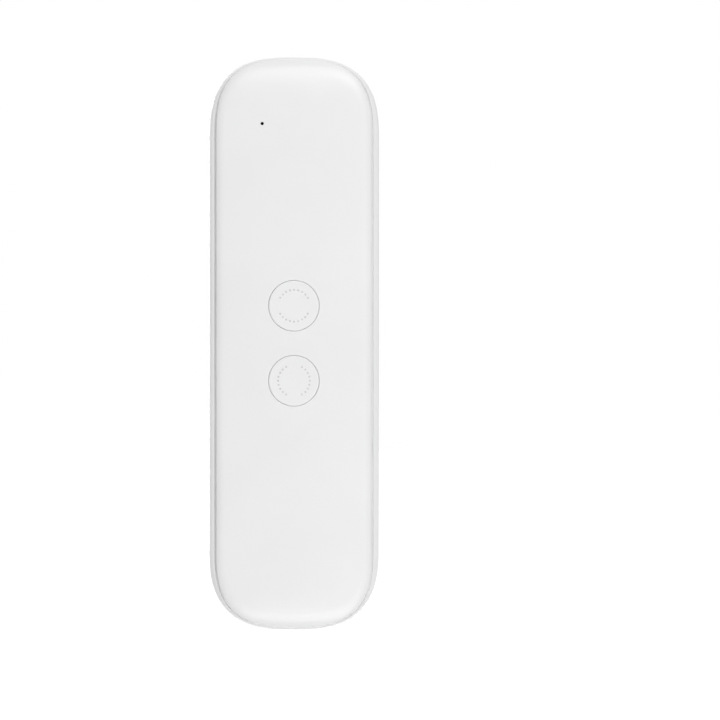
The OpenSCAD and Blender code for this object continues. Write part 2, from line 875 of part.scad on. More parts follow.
module speaker_frame() {
    color("#2a2a2c")
        stand()
            translate([0, grille_y, 0])
                difference() {
                    slab(speaker_front_d, gasket_front_d)
                        round_rect(speaker_w, speaker_l, 1.5);
                    slab(speaker_front_d + speaker_wall, gasket_front_d + eps)
                        round_rect(speaker_w - 2 * speaker_wall, speaker_l - 2 * speaker_wall, 1);
                    pillar(0, 0, magnet_d + 2 * rest_gap, speaker_front_d - eps, gasket_front_d);
                }
}

module speaker_magnet() {
    color("#a9adb2")
        stand()
            pillar(0, grille_y, magnet_d, magnet_front_d, speaker_front_d + speaker_wall);
}

// Oval diaphragm with a round dome in the middle
module speaker_cone() {
    w = speaker_w - 2 * speaker_wall - 2 * rest_gap;
    l = speaker_l - 2 * speaker_wall - 2 * rest_gap;
    back_d = gasket_front_d - 0.2;
    color("#3a3a3e")
        stand()
            translate([0, grille_y, 0]) {
                slab(back_d - 0.4, back_d)
                    round_rect(w, l, 1);
                pillar(0, 0, magnet_d - 2, speaker_front_d + speaker_wall + rest_gap, back_d - 0.2);
            }
}

gasket_w = 1.8;     // width of the foam frame

module speaker_gasket() {
    color("#151516")
        stand()
            translate([0, grille_y, 0])
                slab(gasket_front_d, gasket_back_d)
                    difference() {
                        round_rect(speaker_w, speaker_l, 1.5);
                        square([speaker_w - 2 * gasket_w, speaker_l - 2 * gasket_w], center = true);
                    }
}

module speaker_mesh() {
    color("#0d0b0b")
        stand()
            translate([0, grille_y, 0])
                slab(inner_back_d - mesh_t, inner_back_d)
                    square([speaker_w - 2 * gasket_w - 0.4, speaker_l - 2 * gasket_w - 0.4], center = true);
}

module speaker_leads() {
    y0 = grille_y - speaker_l / 2 - rest_gap;
    color("#a8322a")
        stand()
            for (x = [-2, 2])
                lead(x, [y0, speaker_front_d + lead_d / 2 + 0.1], [y0 - lead_run, lead_board_d]);
}

// ---- Microphones ---------------------------------------------------------------------------

mic_back_d = board_d - rest_gap;
boot_front_d = cover_t + rest_gap;

module front_mic() {
    color("#b8bbbe")
        stand()
            pillar(-mic_x, mic_y, capsule_d, mic_back_d - capsule_h, mic_back_d);
}

module front_mic_boot() {
    color("#1b1b1c")
        stand()
            difference() {
                pillar(-mic_x, mic_y, boot_d, boot_front_d, mic_back_d);
                pillar(-mic_x, mic_y, capsule_d, mic_back_d - capsule_h, mic_back_d + eps);
                pillar(-mic_x, mic_y, pinhole_d + 0.4, boot_front_d - eps, mic_back_d);
            }
}

boot_l = 2.6;

module side_mic() {
    color("#b8bbbe")
        stand()
            left_side(side_mic_y, side_mic_depth, boot_x1() - boot_l, boot_x1() - boot_l + capsule_h)
                circle(d = capsule_d);
}

module side_mic_boot() {
    color("#1b1b1c")
        stand()
            difference() {
                left_side(side_mic_y, side_mic_depth, boot_x1() - boot_l, boot_x1() - rest_gap)
                    circle(d = boot_d);
                left_side(side_mic_y, side_mic_depth, boot_x1() - boot_l - eps, boot_x1() - boot_l + capsule_h)
                    circle(d = capsule_d);
                left_side(side_mic_y, side_mic_depth, boot_x1() - boot_l, boot_x1() + eps)
                    circle(d = pinhole_d + 0.4);
            }
}

// ---- Charge port ---------------------------------------------------------------------------

module usb_shell() {
    color("#b6babf")
        stand()
            difference() {
                port_run(usb_mouth_y, usb_mouth_y + usb_l)
                    port_outline(0);
                port_run(usb_mouth_y - eps, usb_mouth_y + usb_l - usb_sheet)
                    port_outline(-usb_sheet);
            }
}

tongue_w = usb_w - 2 * usb_sheet - 3.2;
tongue_t = 0.6;
tongue_root = 1.2;

module usb_tongue() {
    y1 = usb_mouth_y + usb_l - usb_sheet;
    color("#19191b")
        stand() {
            port_run(y1 - tongue_root, y1)
                port_outline(-usb_sheet - rest_gap / 2);
            port_run(usb_mouth_y + 0.5, y1 - tongue_root)
                translate([0, -0.2])
                    square([tongue_w, tongue_t], center = true);
        }
}

module usb_contacts() {
    pitch = 0.65;
    y1 = usb_mouth_y + usb_l - usb_sheet;
    color("#d4ab3a")
        stand()
            for (i = [0 : usb_pins - 1])
                port_run(usb_mouth_y + 0.7, y1 - tongue_root)
                    translate([(i - (usb_pins - 1) / 2) * pitch, -0.2 + tongue_t / 2 + 0.05])
                        square([0.35, 0.1], center = true);
}

// ---- Nodes ---------------------------------------------------------------------------------

front_cover();
back_cover();
upper_button();
lower_button();
power_key();
upper_switch();
lower_switch();
upper_plunger();
lower_plunger();
power_switch();
power_lever();
main_board();
main_chip();
memory_chip();
charge_chip();
crystal();
antenna();
board_parts();
board_screws();
battery_cell();
battery_circuit();
battery_tape();
battery_lead_red();
battery_lead_black();
speaker_frame();
speaker_cone();
speaker_magnet();
speaker_gasket();
speaker_mesh();
speaker_leads();
front_mic();
front_mic_boot();
side_mic();
side_mic_boot();
usb_shell();
usb_tongue();
usb_contacts();
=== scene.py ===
"""Looks of a handheld translator: surfaces and finishes over its solids, with floor, light and camera."""

import json
import logging
import math
from collections.abc import Mapping, Sequence
from dataclasses import dataclass, field
from enum import Enum
from typing import Any

import bmesh
import bpy
import numpy as np
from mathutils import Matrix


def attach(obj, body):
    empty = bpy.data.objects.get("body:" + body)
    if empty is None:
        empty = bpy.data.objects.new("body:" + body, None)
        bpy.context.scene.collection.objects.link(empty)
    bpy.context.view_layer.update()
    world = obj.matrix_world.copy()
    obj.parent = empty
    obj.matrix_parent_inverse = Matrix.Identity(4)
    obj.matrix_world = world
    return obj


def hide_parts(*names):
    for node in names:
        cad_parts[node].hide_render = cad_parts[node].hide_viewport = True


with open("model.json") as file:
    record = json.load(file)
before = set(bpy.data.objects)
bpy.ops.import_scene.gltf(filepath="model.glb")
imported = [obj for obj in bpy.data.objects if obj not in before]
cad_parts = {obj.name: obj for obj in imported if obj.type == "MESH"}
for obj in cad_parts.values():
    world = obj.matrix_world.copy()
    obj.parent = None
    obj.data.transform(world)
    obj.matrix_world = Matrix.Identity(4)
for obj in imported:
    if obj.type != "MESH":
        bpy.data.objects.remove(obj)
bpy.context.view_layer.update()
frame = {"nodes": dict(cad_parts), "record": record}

LOG = logging.getLogger("translator")
Colour = tuple[float, float, float]


class Body(Enum):
    """The bodies that pieces ride on."""

    CASE = "case"
    UPPER = "upper_press"
    LOWER = "lower_press"
    KEY = "power_slide"


# ---- Shader maths ------------------------------------------------------------------------------


class Wire:
    """A value inside a material, on which sums can be written."""

    def __init__(self, graph: "Graph", socket: bpy.types.NodeSocket) -> None:
        """Keeps the socket and the graph that it belongs to."""
        self.graph = graph
        self.socket = socket

    def _sum(self, operation: str, *terms: Any) -> "Wire":
        """Adds one Math node over the terms, each a wire or a number."""
        return self.graph.value("ShaderNodeMath", {"operation": operation}, dict(enumerate(terms)))

    def __add__(self, other: Any) -> "Wire":
        """Sum."""
        return self._sum("ADD", self, other)

    def __sub__(self, other: Any) -> "Wire":
        """Difference."""
        return self._sum("SUBTRACT", self, other)

    def __rsub__(self, other: Any) -> "Wire":
        """Difference, with the wire taken away."""
        return self._sum("SUBTRACT", other, self)

    def __mul__(self, other: Any) -> "Wire":
        """Product."""
        return self._sum("MULTIPLY", self, other)

    def __pow__(self, other: Any) -> "Wire":
        """Power."""
        return self._sum("POWER", self, other)

    __radd__ = __add__
    __rmul__ = __mul__

    def sine(self) -> "Wire":
        """Sine of the value, in radians."""
        return self._sum("SINE", self)

    def size(self) -> "Wire":
        """The value without its sign."""
        return self._sum("ABSOLUTE", self)

    def most(self, other: Any) -> "Wire":
        """The larger of two values."""
        return self._sum("MAXIMUM", self, other)

    def rise(self, low: float, high: float) -> "Wire":
        """Goes smoothly from 0 at low to 1 at high.

        Args:
            low: value at which the result leaves 0.
            high: value at which the result reaches 1.

        Returns:
            The eased wire.
        """
        return self.graph.value("ShaderNodeMapRange", {"interpolation_type": "SMOOTHSTEP"},
                                {"Value": self, "From Min": low, "From Max": high})


class Graph:
    """The node tree of one material or of the world."""

    def __init__(self, tree: bpy.types.NodeTree) -> None:
        """Starts from an empty tree."""
        self.tree = tree
        tree.nodes.clear()

    def node(self, kind: str, settings: Mapping[str, Any] | None = None,
             inputs: Mapping[int | str, Any] | None = None) -> bpy.types.Node:
        """Adds a node.

        Args:
            kind: the node's type.
            settings: attributes that are set first; "stops" holds a ramp's places and colours.
            inputs: a number, colour, vector or wire for each socket, by name or place.

        Returns:
            The new node.
        """
        node = self.tree.nodes.new(kind)
        for name, value in (settings or {}).items():
            if name == "stops":
                ramp = node.color_ramp
                while len(ramp.elements) < len(value):
                    ramp.elements.new(0.5)
                for element, (place, colour) in zip(ramp.elements, value):
                    element.position = place
                    element.color = (*colour, 1.0)
            else:
                setattr(node, name, value)
        for name, value in (inputs or {}).items():
            if isinstance(value, Wire):
                self.tree.links.new(value.socket, node.inputs[name])
            else:
                node.inputs[name].default_value = value
        return node

    def value(self, kind: str, settings: Mapping[str, Any] | None = None,
              inputs: Mapping[int | str, Any] | None = None, output: int | str = 0) -> Wire:
        """Adds a node and gives one of its outputs as a wire."""
        return Wire(self, self.node(kind, settings, inputs).outputs[output])

    def place(self, stretch: tuple[float, float, float] = (1.0, 1.0, 1.0)) -> Wire:
        """Object coordinates in millimetres, stretched along each axis.

        Args:
            stretch: factor along each axis.

        Returns:
            The stretched place in millimetres.
        """
        here = self.value("ShaderNodeTexCoord", output="Object")
        return self.value("ShaderNodeMapping", {},
                          {"Vector": here, "Scale": tuple(1000.0 * s for s in stretch)})

    def axes(self, vector: Wire) -> tuple[Wire, Wire, Wire]:
        """Splits a vector into its three values."""
        node = self.node("ShaderNodeSeparateXYZ", {}, {0: vector})
        return Wire(self, node.outputs[0]), Wire(self, node.outputs[1]), Wire(self, node.outputs[2])

    def noise(self, vector: Wire, size: float, detail: float = 2.0, rough: float = 0.5) -> Wire:
        """Cloudy noise.

        Args:
            vector: place, in millimetres.
            size: rough width of one cloud, in millimetres.
            detail: number of finer layers.
            rough: strength of the finer layers.

        Returns:
            A value about 0.5.
        """
        return self.value("ShaderNodeTexNoise", {}, {"Vector": vector, "Scale": 1.0 / size, "Detail": detail,
                                                     "Roughness": rough})

    def mix(self, share: Wire, first: Any, second: Any) -> Wire:
        """Mixes two colours.

        Args:
            share: 0 gives the first colour, 1 the second.
            first: a colour or a wire.
            second: a colour or a wire.

        Returns:
            The mixed colour.
        """
        full = [c if isinstance(c, Wire) else (*c, 1.0) for c in (first, second)]
        return self.value("ShaderNodeMix", {"data_type": "RGBA"}, {0: share, 6: full[0], 7: full[1]}, 2)

    def relief(self, height: Wire, depth: float) -> Wire:
        """Surface normals of a fine relief.

        Args:
            height: relief from 0 to 1.
            depth: height of the relief, in millimetres.

        Returns:
            The normal, for a shader's Normal socket.
        """
        return self.value("ShaderNodeBump", {},
                          {"Strength": 1.0, "Distance": depth / 1000.0, "Height": height})

    def shade(self, inputs: Mapping[str, Any]) -> None:
        """Ends a material with one Principled shader."""
        shader = self.value("ShaderNodeBsdfPrincipled", {}, inputs)
        self.node("ShaderNodeOutputMaterial", {}, {"Surface": shader})


def scaled(colour: Colour, by: float) -> tuple[float, float, float]:
    """A colour made lighter or darker."""
    return tuple(min(1.0, c * by) for c in colour)


# ---- Finishes ----------------------------------------------------------------------------------


@dataclass(frozen=True)
class Finish:
    """What all finishes share: a colour and a roughness."""

    colour: Colour
    roughness: float

    def wire_up(self, g: Graph) -> None:
        """Builds the nodes of the finish."""
        g.shade({"Base Color": (*self.colour, 1.0), "Roughness": self.roughness})

    def material(self, name: str) -> bpy.types.Material:
        """Makes the material.

        Args:
            name: the material's name.

        Returns:
            The new material.
        """
        made = bpy.data.materials.new(name)
        made.use_nodes = True
        made.diffuse_color = (*self.colour, 1.0)
        self.wire_up(Graph(made.node_tree))
        return made


@dataclass(frozen=True)
class MouldedPlastic(Finish):
    """Plastic from a spark-eroded mould: fine pits, and a tone and gloss that wander slightly."""

    grain: float = 0.16
    pit: float = 0.004
    drift: float = 0.010
    # A point attribute that paints shade into a piece's dimples, and how dark that painted shade gets.
    mark: str = ""
    painted_shade_tone: float = 0.8

    def wire_up(self, g: Graph) -> None:
        """Builds the grain, the drift of tone and gloss, and painted shade in dimples where the piece carries
        it.

        Args:
            g: the material's graph.
        """
        here = g.place()
        cloud = g.noise(here, 16.0, 2.0)
        fine = g.noise(here, self.grain, 2.0, 0.55)
        tone = g.mix(cloud.rise(0.3, 0.7), scaled(self.colour, 1 - self.drift),
                     scaled(self.colour, 1 + self.drift))
        tone = g.mix(fine.rise(0.62, 0.36) * 0.35, tone, scaled(self.colour, 0.94))
        # Painted shade: the colour darkens where the piece's attribute rises, standing in for the shade
        # inside its dimples.
        if self.mark:
            level = g.value("ShaderNodeAttribute", {"attribute_name": self.mark}, {}, "Fac")
            tone = g.mix(level, tone, scaled(self.colour, self.painted_shade_tone))
        gloss = (cloud - 0.5) * 0.10 + (fine - 0.5) * 0.16 + self.roughness
        g.shade({"Base Color": tone, "Roughness": gloss, "Normal": g.relief(fine, self.pit), "IOR": 1.53})


@dataclass(frozen=True)
class PlatedMetal(Finish):
    """Rolled and plated sheet or drawn cans: metal with fine lines along one axis."""

    lines: tuple[float, float, float] = (1.0, 1.0, 0.06)

    def wire_up(self, g: Graph) -> None:
        """Builds the rolling lines and the cloudy plating.

        Args:
            g: the material's graph.
        """
        here = g.place(self.lines)
        line = g.noise(here, 0.12, 3.0, 0.6)
        cloud = g.noise(g.place(), 3.0)
        tone = g.mix(cloud, scaled(self.colour, 0.93), scaled(self.colour, 1.05))
        gloss = (line - 0.5) * 0.30 + (cloud - 0.5) * 0.1 + self.roughness
        g.shade({"Base Color": tone, "Metallic": 1.0, "Roughness": gloss, "Normal": g.relief(line, 0.002)})


@dataclass(frozen=True)
class FeltedCan(Finish):
    """Microphone can: drawn metal with a round of black felt over its open face."""

    felt: float = 1.0
    felt_tone: Colour = (0.008, 0.008, 0.008)
    front_axis: tuple[float, float] = (-7.8, 124.55)
    side_axis: tuple[float, float] = (0.875, 125.7)

    def wire_up(self, g: Graph) -> None:
        """Builds the plating, and felt where the square of the distance from either can's axis is small.

        Args:
            g: the material's graph.
        """
        here = g.place()
        x, y, z = g.axes(here)
        cloud = g.noise(here, 3.0)
        edge = (self.felt - 0.1) ** 2, self.felt**2
        front = (x - self.front_axis[0]) ** 2 + (z - self.front_axis[1]) ** 2
        side = (y - self.side_axis[0]) ** 2 + (z - self.side_axis[1]) ** 2
        felt = (1 - front.rise(*edge)).most(1 - side.rise(*edge))
        tone = g.mix(cloud, scaled(self.colour, 0.93), scaled(self.colour, 1.05))
        g.shade({"Base Color": g.mix(felt, tone, self.felt_tone), "Metallic": 1 - felt,
                 "Roughness": felt * 0.6 + (cloud - 0.5) * 0.1 + self.roughness})


@dataclass(frozen=True)
class SolderMask(Finish):
    """Green lacquer over copper tracks, with bare tinned pads here and there."""

    def wire_up(self, g: Graph) -> None:
        """Builds stepped tracks from square-edged cells, and pads from small round cells.

        Args:
            g: the material's graph.
        """
        here = g.place((1.0, 0.0, 1.0))
        cells = g.value("ShaderNodeTexVoronoi", {"feature": "F2", "distance": "CHEBYCHEV"},
                        {"Vector": here, "Scale": 0.55, "Randomness": 0.9})
        cell = g.value("ShaderNodeTexVoronoi", {"feature": "F1", "distance": "CHEBYCHEV"},
                       {"Vector": here, "Scale": 0.55, "Randomness": 0.9})
        track = 1 - (cells - cell).rise(0.05, 0.09)
        dots = g.value("ShaderNodeTexVoronoi", {"feature": "F1"},
                       {"Vector": here, "Scale": 0.45, "Randomness": 0.6})
        pad = 1 - dots.rise(0.15, 0.18)
        tone = g.mix(track * 0.6, self.colour, scaled(self.colour, 1.9))
        tone = g.mix(pad, tone, (0.62, 0.60, 0.54))
        height = (track * 0.4).most(pad * 0.7)
        g.shade({"Base Color": tone, "Roughness": pad * 0.1 + self.roughness, "Metallic": pad * 0.9,
                 "Normal": g.relief(height, 0.03), "Coat Weight": 0.25})


@dataclass(frozen=True)
class FoilPouch(Finish):
    """Laminated aluminium pouch with soft creases."""

    def wire_up(self, g: Graph) -> None:
        """Builds wide soft creases with a little fine grain, and painted shade along the crease lines.

        Args:
            g: the material's graph.
        """
        here = g.place((1.0, 1.0, 0.5))
        crease = (g.noise(here, 7.0, 3.0, 0.6) - 0.5).size() * 2.0
        fine = g.noise(here, 0.3, 2.0)
        # Painted shade: the colour darkens along the crease lines and is a little lighter between them.
        tone = g.mix(crease.rise(0.0, 0.3), scaled(self.colour, 0.9), scaled(self.colour, 1.04))
        g.shade({"Base Color": tone, "Metallic": 0.85, "Roughness": fine * 0.12 + self.roughness,
                 "Normal": g.relief(crease + fine * 0.05, 0.10)})


@dataclass(frozen=True)
class WovenMesh(Finish):
    """Plain weave of fine black threads, as in a dust mesh."""

    pitch: float = 0.13
    glint: Colour = (0.05, 0.016, 0.014)

    def wire_up(self, g: Graph) -> None:
        """Builds threads that pass over and under: the product of two sines, one along each axis.

        Args:
            g: the material's graph.
        """
        x, _, z = g.axes(g.place())
        turn = math.pi / self.pitch
        weave = (x * turn).sine() * (z * turn).sine()
        height = weave * 0.5 + 0.5
        tone = g.mix(height.rise(0.55, 1.0), self.colour, self.glint)
        g.shade({"Base Color": tone, "Roughness": self.roughness, "Normal": g.relief(height, 0.03)})


@dataclass(frozen=True)
class Cellular(Finish):
    """Foam or rubber: small cells and a dull face."""

    cell: float = 0.35
    depth: float = 0.05

    def wire_up(self, g: Graph) -> None:
        """Builds round cells and a slow drift of tone.

        Args:
            g: the material's graph.
        """
        here = g.place()
        cells = g.value("ShaderNodeTexVoronoi", {"feature": "F1"}, {"Vector": here, "Scale": 1.0 / self.cell})
        cloud = g.noise(here, 4.0)
        tone = g.mix(cloud, scaled(self.colour, 0.8), scaled(self.colour, 1.25))
        g.shade({"Base Color": tone, "Roughness": (cells - 0.4) * 0.1 + self.roughness,
                 "Normal": g.relief(cells, self.depth)})


@dataclass(frozen=True)
class DippedWire(Finish):
    """Insulated wire: glossy skin with faint rings from its drawing."""

    def wire_up(self, g: Graph) -> None:
        """Builds faint rings along the run and a slow drift of tone.

        Args:
            g: the material's graph.
        """
        _, _, along = g.axes(g.place())
        ring = (along * 9.0).sine() * 0.5 + 0.5
        cloud = g.noise(g.place(), 1.5)
        tone = g.mix(cloud, scaled(self.colour, 0.85), scaled(self.colour, 1.15))
        g.shade({"Base Color": tone, "Roughness": cloud * 0.15 + self.roughness,
                 "Normal": g.relief(ring, 0.01)})


@dataclass(frozen=True)
class FiredCeramic(Finish):
    """Small fired blocks with tinned ends along X."""

    pitch: float = 1.9
    cap: float = 0.72

    def wire_up(self, g: Graph) -> None:
        """Builds speckled ceramic, and tin where the place within a pitch is near a block's end.

        Args:
            g: the material's graph.
        """
        here = g.place()
        x, _, _ = g.axes(here)
        speck = g.noise(here, 0.08, 2.0)
        band = ((x + 4.5 * self.pitch) * (math.pi / self.pitch)).sine().size()
        tin = band.rise(self.cap - 0.06, self.cap + 0.02)
        tone = g.mix(speck, scaled(self.colour, 0.8), scaled(self.colour, 1.2))
        g.shade({"Base Color": g.mix(tin, tone, (0.66, 0.66, 0.68)), "Metallic": tin * 0.9,
                 "Roughness": speck * 0.2 + self.roughness, "Normal": g.relief(speck, 0.01)})


FINISHES: dict[str, Finish] = {
    "white_case": MouldedPlastic((0.83, 0.83, 0.832), 0.35),
    # The button's dimples are darkened by painted shade, down to 0.72 of the white.
    "white_button": MouldedPlastic((0.83, 0.83, 0.832), 0.34, mark="mark", painted_shade_tone=0.72),
    # The key's grey is the case's white toned down as painted shade of the slot it lies in.
    "white_key": MouldedPlastic((0.70, 0.70, 0.702), 0.45),
    "black_plastic": MouldedPlastic((0.028, 0.028, 0.03), 0.5, drift=0.08),
    "switch_plunger": MouldedPlastic((0.60, 0.45, 0.15), 0.4, drift=0.05),
    "steel": PlatedMetal((0.60, 0.61, 0.62), 0.3),
    "circuit_board": SolderMask((0.02, 0.13, 0.06), 0.32),
    "chip_black": MouldedPlastic((0.02, 0.02, 0.022), 0.55, grain=0.08, drift=0.08),
    "ceramic_white": Cellular((0.80, 0.78, 0.70), 0.5, cell=0.12, depth=0.01),
    "board_parts": FiredCeramic((0.45, 0.34, 0.20), 0.4),
    "screw_steel": PlatedMetal((0.45, 0.46, 0.47), 0.35, lines=(1.0, 1.0, 1.0)),
    "battery_foil": FoilPouch((0.62, 0.63, 0.65), 0.32),
    "tape": Cellular((0.85, 0.82, 0.72), 0.7, cell=0.2),
    "lead_red": DippedWire((0.50, 0.02, 0.02), 0.3),
    "lead_black": DippedWire((0.02, 0.02, 0.02), 0.3),
    "cone": MouldedPlastic((0.06, 0.06, 0.065), 0.35, grain=0.4, pit=0.02),
    "magnet": PlatedMetal((0.50, 0.50, 0.52), 0.28, lines=(1.0, 1.0, 1.0)),
    "foam_black": Cellular((0.02, 0.02, 0.02), 0.85),
    "mesh_black": WovenMesh((0.010, 0.007, 0.007), 0.6),
    "capsule": FeltedCan((0.60, 0.60, 0.62), 0.3),
    "rubber_black": Cellular((0.02, 0.02, 0.02), 0.7, cell=0.15, depth=0.01),
    "gold_contact": PlatedMetal((0.75, 0.55, 0.20), 0.25),
}


# ---- Surfaces ----------------------------------------------------------------------------------


def ring_quads(rows: int, cols: int, start: int = 0) -> np.ndarray:
    """Quads between each row of a grid and the next, closed round its columns.

    Args:
        rows: number of rows.
        cols: points in a row.
        start: number of the grid's first point.

    Returns:
        Point numbers, four to a face.
    """
    row = start + np.arange(rows - 1)[:, None] * cols
    col = np.arange(cols)[None, :]
    nxt = (col + 1) % cols
    return np.stack([row + col, row + nxt, row + cols + nxt, row + cols + col], axis=-1).reshape(-1, 4)


@dataclass
class Skin:
    """A closed surface of quads and triangles, in millimetres of the row frame."""

    points: np.ndarray
    quads: np.ndarray
    tris: np.ndarray
    # Painted shade for each point, from 0 to 1, where a piece has it.
    painted_shade_levels: np.ndarray | None = None

    def outward(self) -> "Skin":
        """Turns all faces round if the volume that they enclose comes out negative.

        Returns:
            The same skin.
        """
        three = np.concatenate([self.tris, self.quads[:, [0, 1, 2]], self.quads[:, [0, 2, 3]]])
        a, b, c = (self.points[three[:, k]] for k in range(3))
        if np.einsum("ij,ij->", a, np.cross(b, c)) < 0:
            self.quads, self.tris = self.quads[:, ::-1], self.tris[:, ::-1]
        return self

    def joined(self, others: Sequence["Skin"]) -> "Skin":
        """Puts other skins beside this one.

        Args:
            others: closed skins.

        Returns:
            One skin that holds them all.
        """
        points, quads, tris = [self.points], [self.quads], [self.tris]
        count = len(self.points)
        for other in others:
            points.append(other.points)
            quads.append(other.quads + count)
            tris.append(other.tris + count)
            count += len(other.points)
        return Skin(np.concatenate(points), np.concatenate(quads), np.concatenate(tris))

    def to_object(self, name: str) -> bpy.types.Object:
        """Makes an object at the origin.

        Args:
            name: the object's name.

        Returns:
            The new object, linked to the scene, its points in metres.
        """
        mesh = bpy.data.meshes.new(name)
        mesh.vertices.add(len(self.points))
        mesh.vertices.foreach_set("co", (self.points * 0.001).astype(np.float32).ravel())
        corners = np.concatenate([self.quads.ravel(), self.tris.ravel()]).astype(np.int32)
        sizes = np.concatenate([np.full(len(self.quads), 4), np.full(len(self.tris), 3)])
        mesh.loops.add(len(corners))
        mesh.loops.foreach_set("vertex_index", corners)
        mesh.polygons.add(len(sizes))
        mesh.polygons.foreach_set("loop_start", (np.cumsum(sizes) - sizes).astype(np.int32))
        mesh.update(calc_edges=True)
        mesh.validate()
        # The painted shade levels become a point attribute that the material reads.
        if self.painted_shade_levels is not None:
            painted_shade_levels = mesh.attributes.new("mark", "FLOAT", "POINT").data
            painted_shade_levels.foreach_set("value", self.painted_shade_levels.astype(np.float32))
        made = bpy.data.objects.new(name, mesh)
        bpy.context.scene.collection.objects.link(made)
        return made


def loft(loops: np.ndarray) -> Skin:
    """Skin over a stack of closed loops, each end closed by a fan round its middle.

    Args:
        loops: points, as rows of loops with the same count.

    Returns:
        The closed skin.
    """
    rows, cols, _ = loops.shape
    points = np.concatenate([loops.reshape(-1, 3), loops[:1].mean(axis=1), loops[-1:].mean(axis=1)])
    near = np.arange(cols)
    nxt = (near + 1) % cols
    last = (rows - 1) * cols
    fans = [np.stack([nxt, near, np.full(cols, rows * cols)], axis=-1),
            np.stack([last + near, last + nxt, np.full(cols, rows * cols + 1)], axis=-1)]
    return Skin(points, ring_quads(rows, cols), np.concatenate(fans)).outward()


def grown(core: Sequence[tuple[float, float]], reach: np.ndarray | float, steps: int = 8) -> np.ndarray:
    """Outline of a convex shape with round corners: each corner of its core opened by an arc of radius reach.

    Args:
        core: corners, anticlockwise; two make a slot with round ends.
        reach: radius, or one for each of several rows.
        steps: steps round each corner.

    Returns:
        Points of shape (rows, count, 2).
    """
    here = np.asarray(core, float)
    ahead = np.roll(here, -1, axis=0) - here
    leaving = np.arctan2(-ahead[:, 0], ahead[:, 1])
    arriving = np.roll(leaving, 1)
    swing = (leaving - arriving) % (2 * np.pi)
    angle = arriving[:, None] + swing[:, None] * np.linspace(0, 1, steps + 1)
    arcs = np.stack([np.cos(angle), np.sin(angle)], axis=-1)
    radius = np.atleast_1d(reach)[:, None, None, None]
    return (here[None, :, None, :] + radius * arcs[None]).reshape(len(radius), -1, 2)


def disc(reach: np.ndarray, count: int) -> np.ndarray:
    """Circles of the given radii, as points of shape (rows, count, 2)."""
    angle = np.linspace(0, 2 * np.pi, count, endpoint=False)
    return reach[:, None, None] * np.stack([np.cos(angle), np.sin(angle)], axis=-1)[None]


def carve(target: bpy.types.Object, cutters: Sequence[Skin]) -> None:
    """Takes the cutters' shapes out of the target's mesh.

    Args:
        target: a closed object.
        cutters: closed skins that don't touch each other.
    """
    tool = cutters[0].joined(cutters[1:]).to_object("cutter")
    cut = target.modifiers.new("openings", "BOOLEAN")
    cut.operation, cut.solver, cut.object = "DIFFERENCE", "MANIFOLD", tool
    done = bpy.data.meshes.new_from_object(target.evaluated_get(bpy.context.evaluated_depsgraph_get()))
    target.modifiers.clear()
    target.data = done
    form = bmesh.new()
    form.from_mesh(done)
    bmesh.ops.dissolve_limit(form, angle_limit=math.radians(0.02), verts=form.verts, edges=form.edges)
    bmesh.ops.dissolve_degenerate(form, dist=1e-6, edges=form.edges)
    form.to_mesh(done)
    form.free()
    bpy.data.objects.remove(tool)
    LOG.info("%s: %d openings cut, %d faces", target.name, len(cutters), len(done.polygons))


class Dresser:
    """Gives pieces and solids their finishes, each material made once."""

    def __init__(self) -> None:
        """Starts with no material made."""
        self.made: dict[str, bpy.types.Material] = {}

    def material(self, slot: str) -> bpy.types.Material:
        """The material of a slot of the record.

        Args:
            slot: name of the slot.

        Returns:
            The material, made at the first call.
        """
        if slot not in self.made:
            self.made[slot] = FINISHES[slot].material(slot)
        return self.made[slot]

    def piece(self, made: bpy.types.Object, body: Body, slot: str, *nodes: str, crease: float = 32.0) -> None:
        """Finishes a new piece: smooth shading with creases, material, body and the solids it stands for.

        Args:
            made: the piece.
            body: the body that it rides on.
            slot: the record's material slot.
            nodes: solids that it replaces.
            crease: edges sharper than this many degrees stay crisp.
        """
        mesh = made.data
        mesh.materials.clear()
        mesh.materials.append(self.material(slot))
        mesh.polygons.foreach_set("use_smooth", np.ones(len(mesh.polygons), bool))
        mesh.polygons.foreach_set("material_index", np.zeros(len(mesh.polygons), np.int32))
        mesh.set_sharp_from_angle(angle=math.radians(crease))
        even = made.modifiers.new("even_shading", "WEIGHTED_NORMAL")
        even.keep_sharp = True
        even.weight = 50
        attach(made, body.value)
        if nodes:
            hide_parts(*nodes)
        LOG.info("%s: %d faces, %s, rides on %s", made.name, len(mesh.polygons), slot, body.value)

    def solids(self, skipped: set[str]) -> None:
        """Gives every solid that still shows the material of its slot.

        Args:
            skipped: solids that a new piece stands for.
        """
        slots = {part["node"]: part["material_slot"] for part in frame["record"]["subparts"]}
        for node, solid in frame["nodes"].items():
            if node in skipped:
                continue
            if not solid.material_slots:
                solid.data.materials.append(None)
            for holder in solid.material_slots:
                holder.material = self.material(slots[node])
            LOG.info("%s: solid dressed in %s", node, slots[node])


# ---- Case --------------------------------------------------------------------------------------


